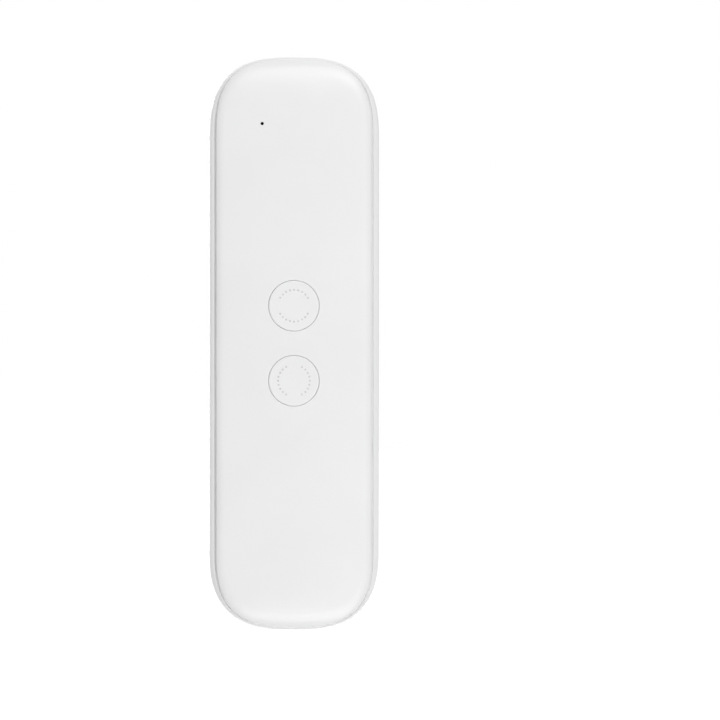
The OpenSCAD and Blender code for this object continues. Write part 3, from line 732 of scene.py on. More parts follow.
@dataclass(frozen=True)
class CaseShape:
    """Outline and depth curves of the case, in millimetres from its middle; depth is behind the front."""

    width: float = 41.9
    length: float = 141.0
    depth: float = 13.5
    wall: float = 1.5
    end: float = 20.7
    power: float = 2.8
    equator: float = 4.4
    bend: float = 11.0
    flat_width: float = 18.0
    flat_end: float = 14.0
    cover_width: float = 38.6
    cover_depth: float = 1.6
    tip_gap: float = 0.45
    bevel: float = 0.15
    parting: float = 0.1
    groove: float = 0.34
    steps: int = 160

    @property
    def half_w(self) -> float:
        """Half the width."""
        return self.width / 2

    @property
    def half_l(self) -> float:
        """Half the length."""
        return self.length / 2

    @property
    def rim(self) -> float:
        """Depth of the back cover's rim."""
        return self.cover_depth + self.parting

    def place(self, x: Any, y: Any, depth: Any) -> np.ndarray:
        """Turns width, length and depth into points of the row frame, in millimetres."""
        x, y, depth = np.broadcast_arrays(x, y, depth)
        return np.stack([x, depth - self.depth / 2, y + self.half_l], axis=-1)

    def front_dip(self, y: np.ndarray) -> np.ndarray:
        """How far the front has bent back at length y: a quarter ellipse over each end."""
        share = np.clip((np.abs(y) - (self.half_l - self.bend)) / self.bend, 0, 1)
        return self.equator * (1 - np.sqrt(1 - share**2))

    def ring(self, half_width: Any, half_length: Any, depth: Any) -> np.ndarray:
        """Closed rings with straight sides and superellipse ends.

        At each angle t of an end, x = w |cos t|^(2/n) and y = l - e + e |sin t|^(2/n), with the end's
        length e in proportion to the width. In front of the widest line the depth follows the front's bend.

        Args:
            half_width: w, one for each ring.
            half_length: l, one for each ring.
            depth: side depth, one for each ring.

        Returns:
            Points of shape (rings, points, 3).
        """
        w, l, d = (np.atleast_1d(np.asarray(v, float))[:, None] for v in (half_width, half_length, depth))
        t = np.linspace(0, np.pi, self.steps + 1)
        side = np.repeat([1.0, -1.0], self.steps + 1)
        across = np.tile(np.sign(np.cos(t)) * np.abs(np.cos(t)) ** (2 / self.power), 2) * side
        along = np.tile(np.abs(np.sin(t)) ** (2 / self.power), 2)
        end = self.end * w / self.half_w
        y = side * (l - end + end * along)
        dip = self.front_dip(y)
        deep = np.where(d >= self.equator, d + 0 * dip, dip + d * (1 - dip / self.equator))
        return self.place(w * across, y, deep)

    def ladder(self, start: int) -> tuple[np.ndarray, np.ndarray]:
        """Strips that close a ring by joining the points that mirror each other.

        Args:
            start: number of the ring's first point.

        Returns:
            Quads and triangles.
        """
        m, h = self.steps, self.steps // 2
        i = np.arange(h - 1)
        quads = [np.stack([s + i, s + i + 1, s + m - i - 1, s + m - i], axis=-1) for s in (0, m + 1)]
        quads.append(np.array([[m, m + 1, 2 * m + 1, 0]]))
        tris = np.array([[s + h - 1, s + h, s + h + 1] for s in (0, m + 1)])
        return np.concatenate(quads) + start, tris + start

    def solid(self, rows: np.ndarray, breaks: Sequence[int] = ()) -> Skin:
        """Closed skin over rings: strips close the first and last ring, or each side of a break.

        Args:
            rows: rings, outside first.
            breaks: with one break, the rings before and after it are two shells, one inside the other,
                joined round the rim by their first and last ring.

        Returns:
            The skin, with its faces outwards.
        """
        count, cols, _ = rows.shape
        points = rows.reshape(-1, 3)
        if not breaks:
            caps = [self.ladder(0), self.ladder((count - 1) * cols)]
            quads = np.concatenate([ring_quads(count, cols), caps[0][0][:, ::-1], caps[1][0]])
            return Skin(points, quads, np.concatenate([caps[0][1][:, ::-1], caps[1][1]])).outward()
        split = breaks[0]
        near = np.arange(cols)
        nxt = (near + 1) % cols
        last = (count - 1) * cols
        rim = np.stack([last + near, last + nxt, nxt, near], axis=-1)
        caps = [self.ladder((split - 1) * cols), self.ladder(split * cols)]
        quads = np.concatenate([ring_quads(split, cols), ring_quads(count - split, cols, split * cols), rim,
                                caps[0][0], caps[1][0][:, ::-1]])
        return Skin(points, quads, np.concatenate([caps[0][1], caps[1][1][:, ::-1]])).outward()

    def back_span(self, depth: Any, inset: float = 0.0) -> tuple[np.ndarray, np.ndarray]:
        """Half width and half length behind the widest line: a quarter ellipse down to the flat.

        Args:
            depth: one or more depths.
            inset: distance inside the outer face.

        Returns:
            Half width and half length at each depth.
        """
        share = np.clip((np.asarray(depth) - self.equator) / (self.depth - inset - self.equator), 0, 1)
        c = np.sqrt(1 - share**2)
        flat_l = self.half_l - self.flat_end
        return (self.flat_width / 2 + (self.half_w - inset - self.flat_width / 2) * c,
                flat_l + (self.half_l - inset - flat_l) * c)

    def side_x(self, y: Any, depth: Any) -> np.ndarray:
        """Distance of the side from the middle at length y and a depth behind the widest line.

        Args:
            y: place along.
            depth: depth behind the front.

        Returns:
            The distance.
        """
        w, l = self.back_span(depth)
        end = self.end * w / self.half_w
        u = np.clip((np.abs(y) - (l - end)) / end, 0, 1)
        return w * (1 - u**self.power) ** (1 / self.power)

    def tip_y(self, x: Any, depth: Any) -> np.ndarray:
        """Distance of a tip from the middle at width x and a depth behind the widest line.

        Args:
            x: place across.
            depth: depth behind the front.

        Returns:
            The distance.
        """
        w, l = self.back_span(depth)
        end = self.end * w / self.half_w
        return l - end + end * (1 - (np.abs(x) / w) ** self.power) ** (1 / self.power)

    def back_depth(self, x: Any, y: Any, inset: float) -> np.ndarray:
        """Depth of the back at width x and length y, found by halving the span of depths it can have.

        Args:
            x: place across.
            y: place along.
            inset: distance inside the outer face.

        Returns:
            The depth.
        """
        low, high = np.full(np.shape(x), self.equator), np.full(np.shape(x), self.depth - inset)
        for _ in range(24):
            middle = (low + high) / 2
            w, l = self.back_span(middle, inset)
            end = self.end * w / self.half_w
            past = np.clip((np.abs(y) - l + end) / end, 0, None)
            reach = (np.abs(x) / w) ** self.power + past ** self.power
            low, high = np.where(reach < 1, middle, low), np.where(reach < 1, high, middle)
        return low

    def shoulder_in(self, depth: np.ndarray, seam_in: float) -> np.ndarray:
        """Inset of the shoulder at a depth in front of the widest line: a quarter ellipse from the seam.

        Args:
            depth: depths in front of the widest line.
            seam_in: inset at the seam.

        Returns:
            The inset at each depth.
        """
        def share(d: np.ndarray) -> np.ndarray:
            """Share of the quarter ellipse outside depth d."""
            return 1 - np.sqrt(1 - ((self.equator - d) / self.equator) ** 2)

        return seam_in * share(depth) / share(np.float64(self.cover_depth))

    def block(self, x: float, y: float, wide: float, long: float, near: float, far: float,
              corner: float = 0.1) -> Skin:
        """A plain block with round edges along its depth, from depth near to depth far.

        Args:
            x: middle across.
            y: middle along.
            wide: size across.
            long: size along.
            near: depth at which it starts.
            far: depth at which it ends.
            corner: radius of its corners.

        Returns:
            The block.
        """
        flat = grown([(-wide / 2 + corner, -long / 2 + corner), (wide / 2 - corner, -long / 2 + corner),
                      (wide / 2 - corner, long / 2 - corner), (-wide / 2 + corner, long / 2 - corner)],
                     np.array([corner * 0.4, corner, corner, corner * 0.4]), 3)
        deep = np.array([near, near + corner * 0.6, far - corner * 0.6, far])[:, None]
        return loft(self.place(flat[..., 0] + x, flat[..., 1] + y, deep))

    def tube(self, x: float, y: float, inner: float, outer: float, near: float,
             far: float | None = None) -> Skin:
        """A round tube along the depth, from depth near to depth far, or into the back's wall.

        Args:
            x: middle across.
            y: middle along.
            inner: inner radius.
            outer: outer radius.
            near: depth at which it starts.
            far: depth at which it ends; left out, it ends halfway through the back's wall.

        Returns:
            The tube.
        """
        steps = 64
        here = np.arange(steps)
        following = (here + 1) % steps
        flat = disc(np.array([outer, outer, inner, inner]), steps) + (x, y)
        end = self.back_depth(flat[..., 0], flat[..., 1], self.wall / 2) if far is None else far
        deep = np.where(np.array([True, False, False, True])[:, None], near, end)
        rows = self.place(flat[..., 0], flat[..., 1], deep)
        closing = np.stack([3 * steps + here, 3 * steps + following, following, here], axis=-1)
        quads = np.concatenate([ring_quads(4, steps), closing])
        return Skin(rows.reshape(-1, 3), quads, np.zeros((0, 3), int)).outward()


def lip(radius: float, deep: float, over: float = 0.8, steps: int = 6) -> tuple[np.ndarray, np.ndarray]:
    """Levels of a cutter whose mouth opens by a quarter circle, so that the edge it leaves is round.

    Args:
        radius: radius of the edge.
        deep: how far the cutter goes in.
        over: how far it stands out.
        steps: steps round the edge.

    Returns:
        Growth of the outline and height over the surface, one pair for each level.
    """
    turn = np.linspace(0, np.pi / 2, steps + 1)
    growth = radius * (1 - np.cos(turn))
    height = radius * (np.sin(turn) - 1 + 0.06)
    return np.concatenate([[0.0], growth, [radius]]), np.concatenate([[-deep], height, [over]])


@dataclass
class Covers:
    """Front plate and back shell, with all their openings."""

    shape: CaseShape
    edge: float = 2.0
    tip_edge: float = 3.2
    end_fill: float = 0.30
    fill_from: float = 54.0
    fill_over: float = 12.0
    button_y: float = 9.225
    button_hole: float = 6.265
    collar: float = 7.0
    collar_wall: float = 0.8
    pinhole: float = 0.4
    front_pin: tuple[float, float] = (-7.8, 54.05)
    side_pin: tuple[float, float] = (55.2, 7.625)
    grille_y: float = 43.7
    grille_hole: float = 0.5
    grille_pitch: tuple[float, float] = (2.07, 2.38)
    grille_rows: tuple[int, ...] = (7, 8, 7, 8, 7)
    slot_y: float = 28.0
    slot_depth: float = 9.05
    slot_size: tuple[float, float] = (1.85, 8.65)
    port_depth: float = 6.9
    port_size: tuple[float, float] = (3.95, 1.425)
    key_cut: float = 3.2
    pin_cut: float = 2.6
    port_cut: float = 4.0
    hook: tuple[float, float] = (1.0, 6.0)
    hook_ends: tuple[float, float, float] = (1.0, 3.4, 4.2)
    nose: float = 0.8
    hook_gap: float = 0.15
    catch: tuple[float, float, float] = (0.9, 1.7, 6.4)
    catch_ends: tuple[float, float] = (2.4, 3.3)
    boss: tuple[float, float, float] = (0.8, 2.0, 5.675)
    collar_ends: tuple[float, float] = (1.5, 2.65)
    hole_edge: float = 0.25
    pin_edge: float = 0.06
    plate_cut: float = 2.2
    flat_rings: tuple[float, float] = (1.2, 0.4)
    ditch: tuple[float, ...] = (0.62, 0.56, 0.50, 0.15, 0.11, 0.09, 0.06, 0.02)
    ditch_end: float = 2.33
    ditch_at_tips: float = 0.4
    screws: tuple[tuple[float, float], ...] = ((8.6, 59.7), (8.6, -59.7), (11.6, 20.25))
    catches: tuple[float, ...] = (-40.0, 0.0, 40.0)

    def hole(self, x: float, y: float, radius: float, edge: float, deep: float, surface: float, out: float,
             count: int = 48, relief: float = 0.0) -> Skin:
        """Cutter of a round hole along the depth, wider in its inner half if it is relieved.

        Args:
            x: place across.
            y: place along.
            radius: radius of the hole.
            edge: radius of its rounded edge.
            deep: how far it goes in.
            surface: depth of the surface that it starts from.
            out: -1 if outwards is to the front, 1 if it is to the back.
            count: points round the hole.
            relief: how much wider the radius is inside.

        Returns:
            The cutter.
        """
        growth, height = lip(edge, deep)
        if relief:
            growth = np.concatenate([[relief, relief, 0.0], growth[1:]])
            height = np.concatenate([[-deep, -0.75, -0.60], height[1:]])
        flat = disc(radius + growth, count)
        return loft(self.shape.place(flat[..., 0] + x, flat[..., 1] + y, surface + out * height[:, None]))

    def front_cutters(self) -> list[Skin]:
        """Two button holes and one pinhole.

        Returns:
            One cutter for each hole.
        """
        cuts = [self.hole(0, s * self.button_y, self.button_hole, self.hole_edge,
                          self.plate_cut, 0.0, -1, 160) for s in (1, -1)]
        return cuts + [self.hole(*self.front_pin, self.pinhole, self.pin_edge,
                                 self.plate_cut, 0.0, -1, 32, 0.5)]

    def front_skin(self) -> Skin:
        """Plate whose edge is a quarter round, with a bend over each end; two rings keep its flat part flat.

        Returns:
            The plate, without its openings.
        """
        s = self.shape
        turn = np.linspace(0, np.pi / 2, 15)
        inset = np.concatenate([self.edge + np.array(self.flat_rings), self.edge * (1 - np.sin(turn)),
                                [s.bevel * 0.35, s.bevel]])
        tip = np.concatenate([self.tip_edge + np.array(self.flat_rings), self.tip_edge * (1 - np.sin(turn)),
                              [s.bevel * 0.35, s.bevel]])
        w = s.cover_width / 2 - s.groove / 2 - inset
        l = s.half_l - s.tip_gap - s.groove / 4 - tip
        d = np.concatenate([[0.0, 0.0], (s.cover_depth - s.bevel) * (1 - np.cos(turn)),
                            [s.cover_depth - s.bevel * 0.35, s.cover_depth]])
        return s.solid(s.ring(w, l, d))

    def back_skin(self) -> Skin:
        """Shell: rim, shoulder out to the widest line, quarter ellipse down to the flat, and the same inside.

        Behind the rim a ditch makes the seam's dark line. It gets shallower by end_fill towards the two ends.

        Returns:
            The shell, without its openings.
        """
        s = self.shape
        start = math.asin((s.equator - s.rim - s.bevel) / s.equator)
        shoulder = s.equator * (1 - np.sin(np.linspace(start, 0, 17)[:-1]))
        back = s.equator + (s.depth - s.equator) * np.sin(np.linspace(0, np.pi / 2, 49))
        span = s.back_span(back)
        seam = (s.width - s.cover_width) / 2
        flat = np.array([0.5, 1.5])
        lip_w = s.half_w - s.shoulder_in(shoulder[0], seam)
        lip_l = s.half_l - s.shoulder_in(shoulder[0], s.tip_gap)
        ditch = np.array(self.ditch)
        deep = np.concatenate([[s.rim, s.rim + 0.02, self.ditch_end, self.ditch_end],
                               shoulder[0] + np.array([0.15, 0.06, 0.01, -0.01])])
        w = np.concatenate([lip_w - ditch, s.half_w - s.shoulder_in(shoulder, seam), span[0],
                            s.flat_width / 2 - flat])
        l = np.concatenate([lip_l - ditch * self.ditch_at_tips,
                            s.half_l - s.shoulder_in(shoulder, s.tip_gap), span[1],
                            s.half_l - s.flat_end - flat])
        d = np.concatenate([deep, shoulder, back, [s.depth, s.depth]])
        inner = s.equator + (s.depth - s.wall - s.equator) * np.sin(np.linspace(np.pi / 2, 0, 17))
        span_in = s.back_span(inner, s.wall)
        rim = np.linspace(s.equator, s.rim, 6)[1:]
        wi = np.concatenate([span_in[0], s.half_w - s.shoulder_in(rim, seam) - s.wall])
        li = np.concatenate([span_in[1], s.half_l - s.shoulder_in(rim, s.tip_gap) - s.wall])
        outer, inside = s.ring(w, l, d), s.ring(wi, li, np.concatenate([inner, rim]))
        ends = np.clip((np.abs(outer[2:4, :, 2] - s.half_l) - self.fill_from) / self.fill_over, 0, 1)
        outer[2:4, :, 1] -= self.end_fill * ends
        return s.solid(np.concatenate([outer, inside]), breaks=[len(outer)])

    def grille_cutters(self) -> list[Skin]:
        """Round holes in staggered columns.

        Returns:
            One cutter for each hole.
        """
        cuts = []
        for column, rows in enumerate(self.grille_rows):
            x = (column - (len(self.grille_rows) - 1) / 2) * self.grille_pitch[0]
            for row in range(rows):
                y = self.grille_y + (row - (rows - 1) / 2) * self.grille_pitch[1]
                cuts.append(self.hole(x, y, self.grille_hole, 0.10, 2.4, self.shape.depth, 1, 32, 0.3))
        return cuts

    def side_cutters(self) -> list[Skin]:
        """The power key's slot and the side pinhole: outlines laid on the curved left side, grown towards it.

        Returns:
            The slot's cutter and the pinhole's.
        """
        wide, long = self.slot_size
        half = (long - wide) / 2
        cuts = []
        for core, radius, y, depth, edge, cut, steps in (
                ([(0.0, -half), (0.0, half)], wide / 2, self.slot_y, self.slot_depth, 0.12,
                 self.key_cut, 24),
                ([(0.0, -0.01), (0.0, 0.01)], self.pinhole, *self.side_pin, 0.06, self.pin_cut, 16)):
            growth, height = lip(edge, cut)
            flat = grown(core, radius + growth, steps)
            at_depth, at_y = flat[..., 0] + depth, flat[..., 1] + y
            out = self.shape.side_x(at_y, at_depth) + height[:, None]
            cuts.append(loft(self.shape.place(-out, at_y, at_depth)))
        return cuts

    def port_outline(self, wide: float, high: float, reach: Any, corner: float = 0.35) -> np.ndarray:
        """Outline of the port: wide near the board and narrower away from it, with round corners.

        Args:
            wide: half width.
            high: half height.
            reach: growth, one for each level.
            corner: radius of the corners.

        Returns:
            Points of width and depth, in rows.
        """
        w, h = wide - corner, high - corner
        core = [(-w, -h), (w, -h), (w, h * 0.1), (w - 0.75, h), (0.75 - w, h), (-w, h * 0.1)]
        return grown(core, corner + np.asarray(reach), 5)

    def port_cutter(self) -> Skin:
        """The port's cut-out, laid on the curved lower tip.

        Returns:
            The cutter.
        """
        growth, height = lip(0.2, self.port_cut)
        flat = self.port_outline(*self.port_size, growth)
        depth = flat[..., 1] + self.port_depth
        out = self.shape.tip_y(flat[..., 0], depth) + height[:, None]
        return loft(self.shape.place(flat[..., 0], -out, depth))

    def front_fittings(self) -> list[Skin]:
        """Collars that guide the buttons, and six hooks with their noses.

        Returns:
            Closed skins that reach into the plate.
        """
        s = self.shape
        parts = [s.tube(0, k * self.button_y, self.collar, self.collar + self.collar_wall, *self.collar_ends)
                 for k in (1, -1)]
        reach = s.cover_width / 2 - s.wall - self.hook_gap
        thick, long = self.hook
        root, nose, end = self.hook_ends
        for side in (1, -1):
            for y in self.catches:
                parts.append(s.block(side * (reach - thick / 2), y, thick, long, root, end))
                middle = reach - thick / 2 + self.nose / 2
                parts.append(s.block(side * middle, y, thick + self.nose, long, nose, end))
        return parts

    def back_fittings(self) -> list[Skin]:
        """Screw bosses, and the catches that the hooks snap behind.

        Returns:
            Closed skins that reach into the shell's wall.
        """
        s = self.shape
        parts = [s.tube(k * x, y, *self.boss) for x, y in self.screws for k in (1, -1)]
        reach = s.cover_width / 2 - s.wall - self.hook_gap
        out, thick, long = self.catch
        for side in (1, -1):
            for y in self.catches:
                parts.append(s.block(side * (reach + out), y, thick, long, *self.catch_ends))
        return parts

    def build(self, dresser: Dresser) -> None:
        """Makes, cuts and dresses both covers.

        Args:
            dresser: gives the finishes.
        """
        front = self.front_skin().to_object("cover_front")
        carve(front, self.front_cutters())
        self.add(front, self.front_fittings())
        dresser.piece(front, Body.CASE, "white_case", "front_cover")
        back = self.back_skin().to_object("cover_back")
        carve(back, [*self.grille_cutters(), *self.side_cutters(), self.port_cutter()])
        self.add(back, self.back_fittings())
        dresser.piece(back, Body.CASE, "white_case", "back_cover")

    @staticmethod
    def add(target: bpy.types.Object, skins: Sequence[Skin]) -> None:
        """Joins more closed skins to an object's mesh.

        Args:
            target: the object that grows.
            skins: closed skins.
        """
        extra = skins[0].joined(skins[1:]).to_object("fittings")
        with bpy.context.temp_override(active_object=target, object=target, selected_objects=[target, extra],
                                       selected_editable_objects=[target, extra]):
            bpy.ops.object.join()


# ---- Buttons and key ---------------------------------------------------------------------------


@dataclass
class PushButton:
    """Round cap with a hollow face, a rounded rim and two facing arcs of dimples."""

    shape: CaseShape
    name: str
    body: Body
    node: str
    y: float
    arc_at: float
    radius: float = 6.21
    rim: float = 0.3
    dish: float = 0.15
    flange: float = 6.9
    flange_span: tuple[float, float] = (1.65, 2.25)
    stem: float = 1.2
    stem_end: float = 2.65
    dot_ring: float = 3.9
    dot: float = 0.3
    dot_depth: float = 0.12
    dot_count: int = 9
    dot_step: float = 15.0
    inner_rings: tuple[float, float] = (0.25, 3.4)
    dot_rings: tuple[float, float] = (3.5, 4.3)
    outer_rings: float = 4.45
    ease: float = 0.08
    stem_ease: float = 0.1
    steps: int = 432

    def profile(self) -> np.ndarray:
        """Radius and depth from the middle of the face, over the rim, to the end of the stem.

        Returns:
            Pairs of radius and depth.
        """
        dish_r = self.radius - 2 * self.rim
        face = np.concatenate([np.linspace(*self.inner_rings, 12), np.linspace(*self.dot_rings, 17),
                               np.linspace(self.outer_rings, dish_r, 8)])
        turn = np.linspace(0, np.pi / 2, 9)
        near, far = self.flange_span
        r = np.concatenate([face, self.radius - self.rim * (1 - np.sin(turn)),
                            [self.radius, self.flange - self.ease, self.flange, self.flange,
                             self.flange - self.ease, self.stem, self.stem, self.stem - self.stem_ease]])
        d = np.concatenate([self.dish * (1 - (face / dish_r) ** 2), self.rim * (1 - np.cos(turn)),
                            [near, near, near + self.ease, far - self.ease, far, far,
                             self.stem_end - self.stem_ease, self.stem_end]])
        return np.stack([r, d], axis=-1)

    def skin(self) -> Skin:
        """Turns the profile round, and sinks a bowl at each dot, whose depth falls with the squared distance.

        Returns:
            The cap, with painted shade from 0 to 1 in each dot's bowl.
        """
        line = self.profile()
        flat = disc(line[:, 0], self.steps)
        deep = np.repeat(line[:, 1:], self.steps, axis=1)
        offset = (np.arange(self.dot_count) - (self.dot_count - 1) / 2) * self.dot_step
        angle = np.radians(np.concatenate([self.arc_at + offset, self.arc_at + 180 + offset]))
        centres = self.dot_ring * np.stack([np.cos(angle), np.sin(angle)], axis=-1)
        gap = np.sqrt(((flat[:, :, None, :] - centres) ** 2).sum(axis=-1)).min(axis=-1)
        face = (line[:, 0] < 5.0) & (line[:, 1] < 1.0)
        bowl = np.clip(1 - (gap / self.dot) ** 2, 0, 1) * face[:, None]
        made = loft(self.shape.place(flat[..., 0], flat[..., 1] + self.y, deep + self.dot_depth * bowl))
        # Painted shade: darkest at the bottom of each dimple, none on the rest of the cap.
        made.painted_shade_levels = np.concatenate([np.sqrt(bowl).ravel(), [0.0, 0.0]])
        return made

    def build(self, dresser: Dresser) -> None:
        """Makes and dresses the cap."""
        dresser.piece(self.skin().to_object(self.name), self.body, "white_button", self.node)


@dataclass
class PowerKey:
    """Sliding key that lies in its slot, its face along the curved side, with four grip ribs."""

    shape: CaseShape
    y: float = 28.0
    depth: float = 9.05
    width: float = 1.65
    length: float = 5.4
    recess: float = 0.35
    rib: float = 0.15
    rib_half: float = 0.26
    ribs: int = 4
    corner: float = 0.14
    plate: tuple[float, float, float] = (0.8, 2.6, 11.45)

    @property
    def plate_x(self) -> float:
        """Outer face of the key's inner plate."""
        return float(self.shape.back_span(self.depth + self.plate[1] / 2, self.shape.wall)[0]) - 0.3

    def knob(self) -> Skin:
        """Section with round corners carried along the length, rounded at both ends, its face raised at ribs.

        Returns:
            The part of the key that is touched.
        """
        v = np.linspace(-self.length / 2, self.length / 2, 241)
        near_end = np.clip(1 - (self.length / 2 - np.abs(v)) / self.corner, 0, 1)
        shrink = self.corner * 0.9 * (1 - np.sqrt(1 - near_end**2))
        low, high = self.depth - self.width / 2 + self.corner, self.depth + self.width / 2 - self.corner
        root = self.plate_x - 0.5
        face = [float(self.shape.side_x(self.y, d)) - self.recess - self.corner for d in (low, high)]
        section = grown([(root, low), (face[0], low), (face[1], high), (root, high)], self.corner - shrink, 6)
        pitch = self.length / (self.ribs + 0.5)
        centres = (np.arange(self.ribs) - (self.ribs - 1) / 2) * pitch
        away = np.abs(v[:, None] - centres).min(axis=1) / self.rib_half
        raised = self.rib * np.sqrt(np.clip(1 - away**2, 0, 1))
        side = np.clip((section[..., 0] - root - 1.0) / 1.0, 0, 1)
        x = section[..., 0] + raised[:, None] * side
        return loft(self.shape.place(-x, v[:, None] + self.y, section[..., 1]))

    def inner_plate(self) -> Skin:
        """Plate behind the wall that keeps the key in its slot.

        Returns:
            The plate.
        """
        thick, wide, long = self.plate
        ease, corner = 0.05, 0.2
        levels = np.array([0.0, ease, thick - ease, thick])
        flat = grown([(-wide / 2 + corner, -long / 2 + corner), (wide / 2 - corner, -long / 2 + corner),
                      (wide / 2 - corner, long / 2 - corner), (-wide / 2 + corner, long / 2 - corner)],
                     np.array([0.15, corner, corner, 0.15]), 4)
        return loft(self.shape.place(levels[:, None] - self.plate_x, flat[..., 1] + self.y,
                                     flat[..., 0] + self.depth))

    def build(self, dresser: Dresser) -> None:
        """Makes and dresses the key."""
        made = self.knob().joined([self.inner_plate()]).to_object("key_power")
        dresser.piece(made, Body.KEY, "white_key", "power_key")


@dataclass
class ChargePort:
    """Folded sheet shell of the charge port, its mouth slightly flared."""

    covers: Covers
    half_width: float = 3.75
    half_height: float = 1.225
    sheet: float = 0.25
    mouth: float = -69.2
    length: float = 5.0
    cover: float = 0.45

    def build(self, dresser: Dresser) -> None:
        """Carries the port's outline from its back, round the mouth, to the inner back wall.

        The mouth stands square, but keeps its cover inside the case where the tip curves away.

        Args:
            dresser: gives the finish.
        """
        growth = np.array([-0.1, 0.0, 0.0, 0.09, 0.12, 0.04, -self.sheet, -self.sheet, -self.sheet, -0.34])
        along = np.array([self.length, self.length - 0.1, 0.5, 0.06, 0.02, 0.0, 0.25, 0.5, self.length - 0.3,
                          self.length - 0.25])
        flat = self.covers.port_outline(self.half_width, self.half_height, growth, 0.42)
        depth = flat[..., 1] + self.covers.port_depth
        edge = np.maximum(self.mouth, self.cover - self.covers.shape.tip_y(flat[..., 0], depth))
        y = along[:, None] + np.where(along[:, None] < 1.0, edge, self.mouth)
        loops = self.covers.shape.place(flat[..., 0], y, depth)
        dresser.piece(loft(loops).to_object("port_shell"), Body.CASE, "steel", "usb_shell")


# ---- Studio ------------------------------------------------------------------------------------


@dataclass
class Lamp:
    """A soft lamp, as wide and high as its size, that looks at the middle of the object."""

    name: str
    place: tuple[float, float, float]
    size: tuple[float, float]
    watts: float

    def build(self, target: tuple[float, float, float]) -> None:
        """Makes the lamp.

        Args:
            target: the point that it looks at.
        """
        data = bpy.data.lights.new(self.name, "AREA")
        data.shape, data.energy = "RECTANGLE", self.watts
        data.size, data.size_y = self.size
        made = bpy.data.objects.new(self.name, data)
        made.location = self.place
        made.visible_camera = False
        way = np.subtract(self.place, target)
        made.rotation_euler = (math.atan2(math.hypot(way[0], way[1]), way[2]), 0.0,
                               math.atan2(way[0], -way[1]))
        bpy.context.scene.collection.objects.link(made)


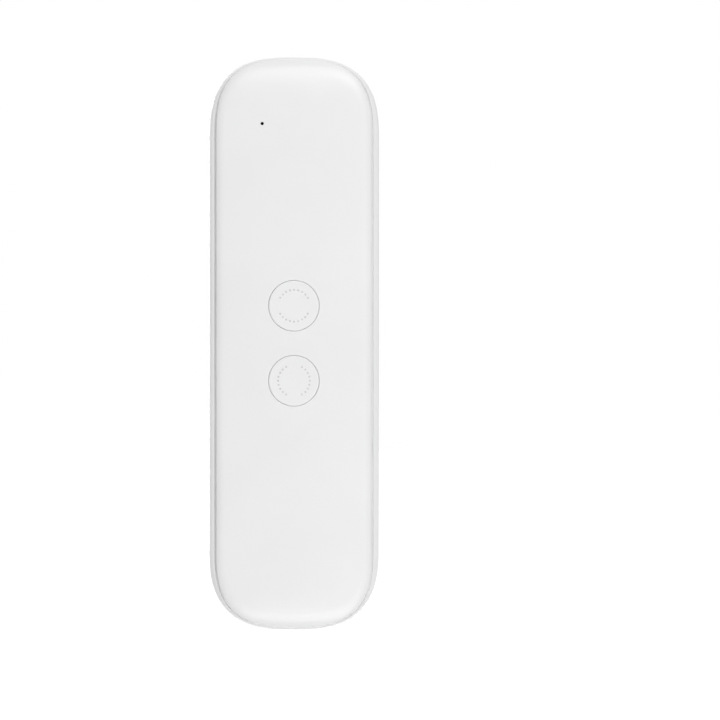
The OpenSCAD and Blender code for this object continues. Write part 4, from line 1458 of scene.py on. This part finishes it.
@dataclass
class Studio:
    """White room with a pale floor, soft lamps and a long lens."""

    target: tuple[float, float, float] = (0.0, 0.0, 0.0705)
    ambient: float = 0.468
    lean: tuple[float, float, float] = (0.0, 0.0, 0.08)
    distance: float = 1.5
    aim: tuple[float, float] = (0.01626, 0.0664)
    view_width: float = 0.17755
    outline_y: float = -0.00235
    lamps: list[Lamp] = field(default_factory=lambda: [
        Lamp("top_lamp", (0.10, -0.40, 0.56), (0.46, 0.40), 1.68),
        Lamp("under_lamp", (0.055, -0.30, -0.41), (0.38, 0.36), 1.32),
        Lamp("left_strip", (-0.50, 0.03, 0.07), (0.05, 0.50), 0.37),
        Lamp("right_strip", (0.48, 0.17, 0.07), (0.12, 0.50), 0.22),
        Lamp("front_strip", (0.035, -0.10, 0.07), (0.03, 0.45), 0.037),
        Lamp("back_lamp", (-0.24, 0.46, 0.16), (0.26, 0.36), 0.88),
        Lamp("back_low_lamp", (0.16, 0.46, -0.10), (0.30, 0.30), 0.53)])

    def room(self) -> None:
        """A world that lights softly, a little more from above, and is seen as white."""
        world = bpy.data.worlds.new("room")
        bpy.context.scene.world = world
        world.use_nodes = True
        g = Graph(world.node_tree)
        path = g.node("ShaderNodeLightPath")
        seen = Wire(g, path.outputs["Is Camera Ray"]).most(Wire(g, path.outputs["Is Glossy Ray"]))
        seen = seen.most(Wire(g, path.outputs["Is Transmission Ray"]))
        way = g.value("ShaderNodeTexCoord", {}, {}, "Generated")
        lean = g.value("ShaderNodeVectorMath", {"operation": "DOT_PRODUCT"}, {0: way, 1: self.lean}, "Value")
        soft = lean + self.ambient
        sky = g.value("ShaderNodeBackground", {}, {"Color": (1, 1, 1, 1), "Strength": soft.most(seen)})
        g.node("ShaderNodeOutputWorld", {}, {"Surface": sky})

    def floor(self) -> None:
        """Pale light table under the lower tip: white but for the object's shadow, and open from below."""
        half = 3.0
        mesh = bpy.data.meshes.new("floor")
        corners = [(-half, -half, 0), (half, -half, 0), (half, half, 0), (-half, half, 0)]
        mesh.from_pydata(corners, [], [(0, 1, 2, 3)])
        made = bpy.data.objects.new("floor", mesh)
        bpy.context.scene.collection.objects.link(made)
        pale = bpy.data.materials.new("floor_pale")
        pale.use_nodes = True
        g = Graph(pale.node_tree)
        path = g.node("ShaderNodeLightPath")
        seen, soft, gloss, dark = (Wire(g, path.outputs[f"Is {kind} Ray"])
                                   for kind in ("Camera", "Diffuse", "Glossy", "Shadow"))
        away = g.value("ShaderNodeVectorMath", {"operation": "LENGTH"}, {0: g.place()}, "Value")
        matt = g.value("ShaderNodeBsdfDiffuse", {}, {"Color": (0.9, 0.9, 0.9, 1)})
        glow = g.value("ShaderNodeEmission", {}, {"Color": (1, 1, 1, 1), "Strength": 1.14})
        share = away.rise(60.0, 280.0) * 0.25 + 0.75
        both = g.value("ShaderNodeMixShader", {}, {0: seen * share, 1: matt, 2: glow})
        clear = g.value("ShaderNodeBsdfTransparent")
        through = soft.most(gloss).most(dark)
        g.node("ShaderNodeOutputMaterial", {}, {"Surface": g.value("ShaderNodeMixShader", {},
                                                                   {0: through, 1: both, 2: clear})})
        mesh.materials.append(pale)

    def camera(self) -> None:
        """Looks level along +Y; the focal length makes the object's outline as wide as it should be."""
        data = bpy.data.cameras.new("camera")
        data.sensor_width = 36.0
        data.lens = 36.0 * (self.distance + self.outline_y) / self.view_width
        data.clip_end = 20.0
        made = bpy.data.objects.new("camera", data)
        made.location = (self.aim[0], -self.distance, self.aim[1])
        made.rotation_euler = (math.pi / 2, 0.0, 0.0)
        bpy.context.scene.collection.objects.link(made)
        bpy.context.scene.camera = made

    def build(self) -> None:
        """Sets up the room, the floor, the lamps and the camera."""
        bpy.context.scene.view_settings.view_transform = "Standard"
        self.room()
        self.floor()
        for lamp in self.lamps:
            lamp.build(self.target)
        self.camera()
        LOG.info("studio: %d lamps, lens %.0f mm", len(self.lamps), bpy.context.scene.camera.data.lens)


def main() -> None:
    """Builds every sub-assembly in order."""
    logging.basicConfig(level=logging.INFO, format="%(name)s: %(message)s")
    shape = CaseShape()
    dresser = Dresser()
    covers = Covers(shape)
    covers.build(dresser)
    PushButton(shape, "button_upper", Body.UPPER, "upper_button", covers.button_y, 90.0).build(dresser)
    PushButton(shape, "button_lower", Body.LOWER, "lower_button", -covers.button_y, 0.0).build(dresser)
    PowerKey(shape).build(dresser)
    ChargePort(covers).build(dresser)
    dresser.solids({"front_cover", "back_cover", "upper_button", "lower_button", "power_key", "usb_shell"})
    Studio().build()


if __name__ == "__main__":
    main()
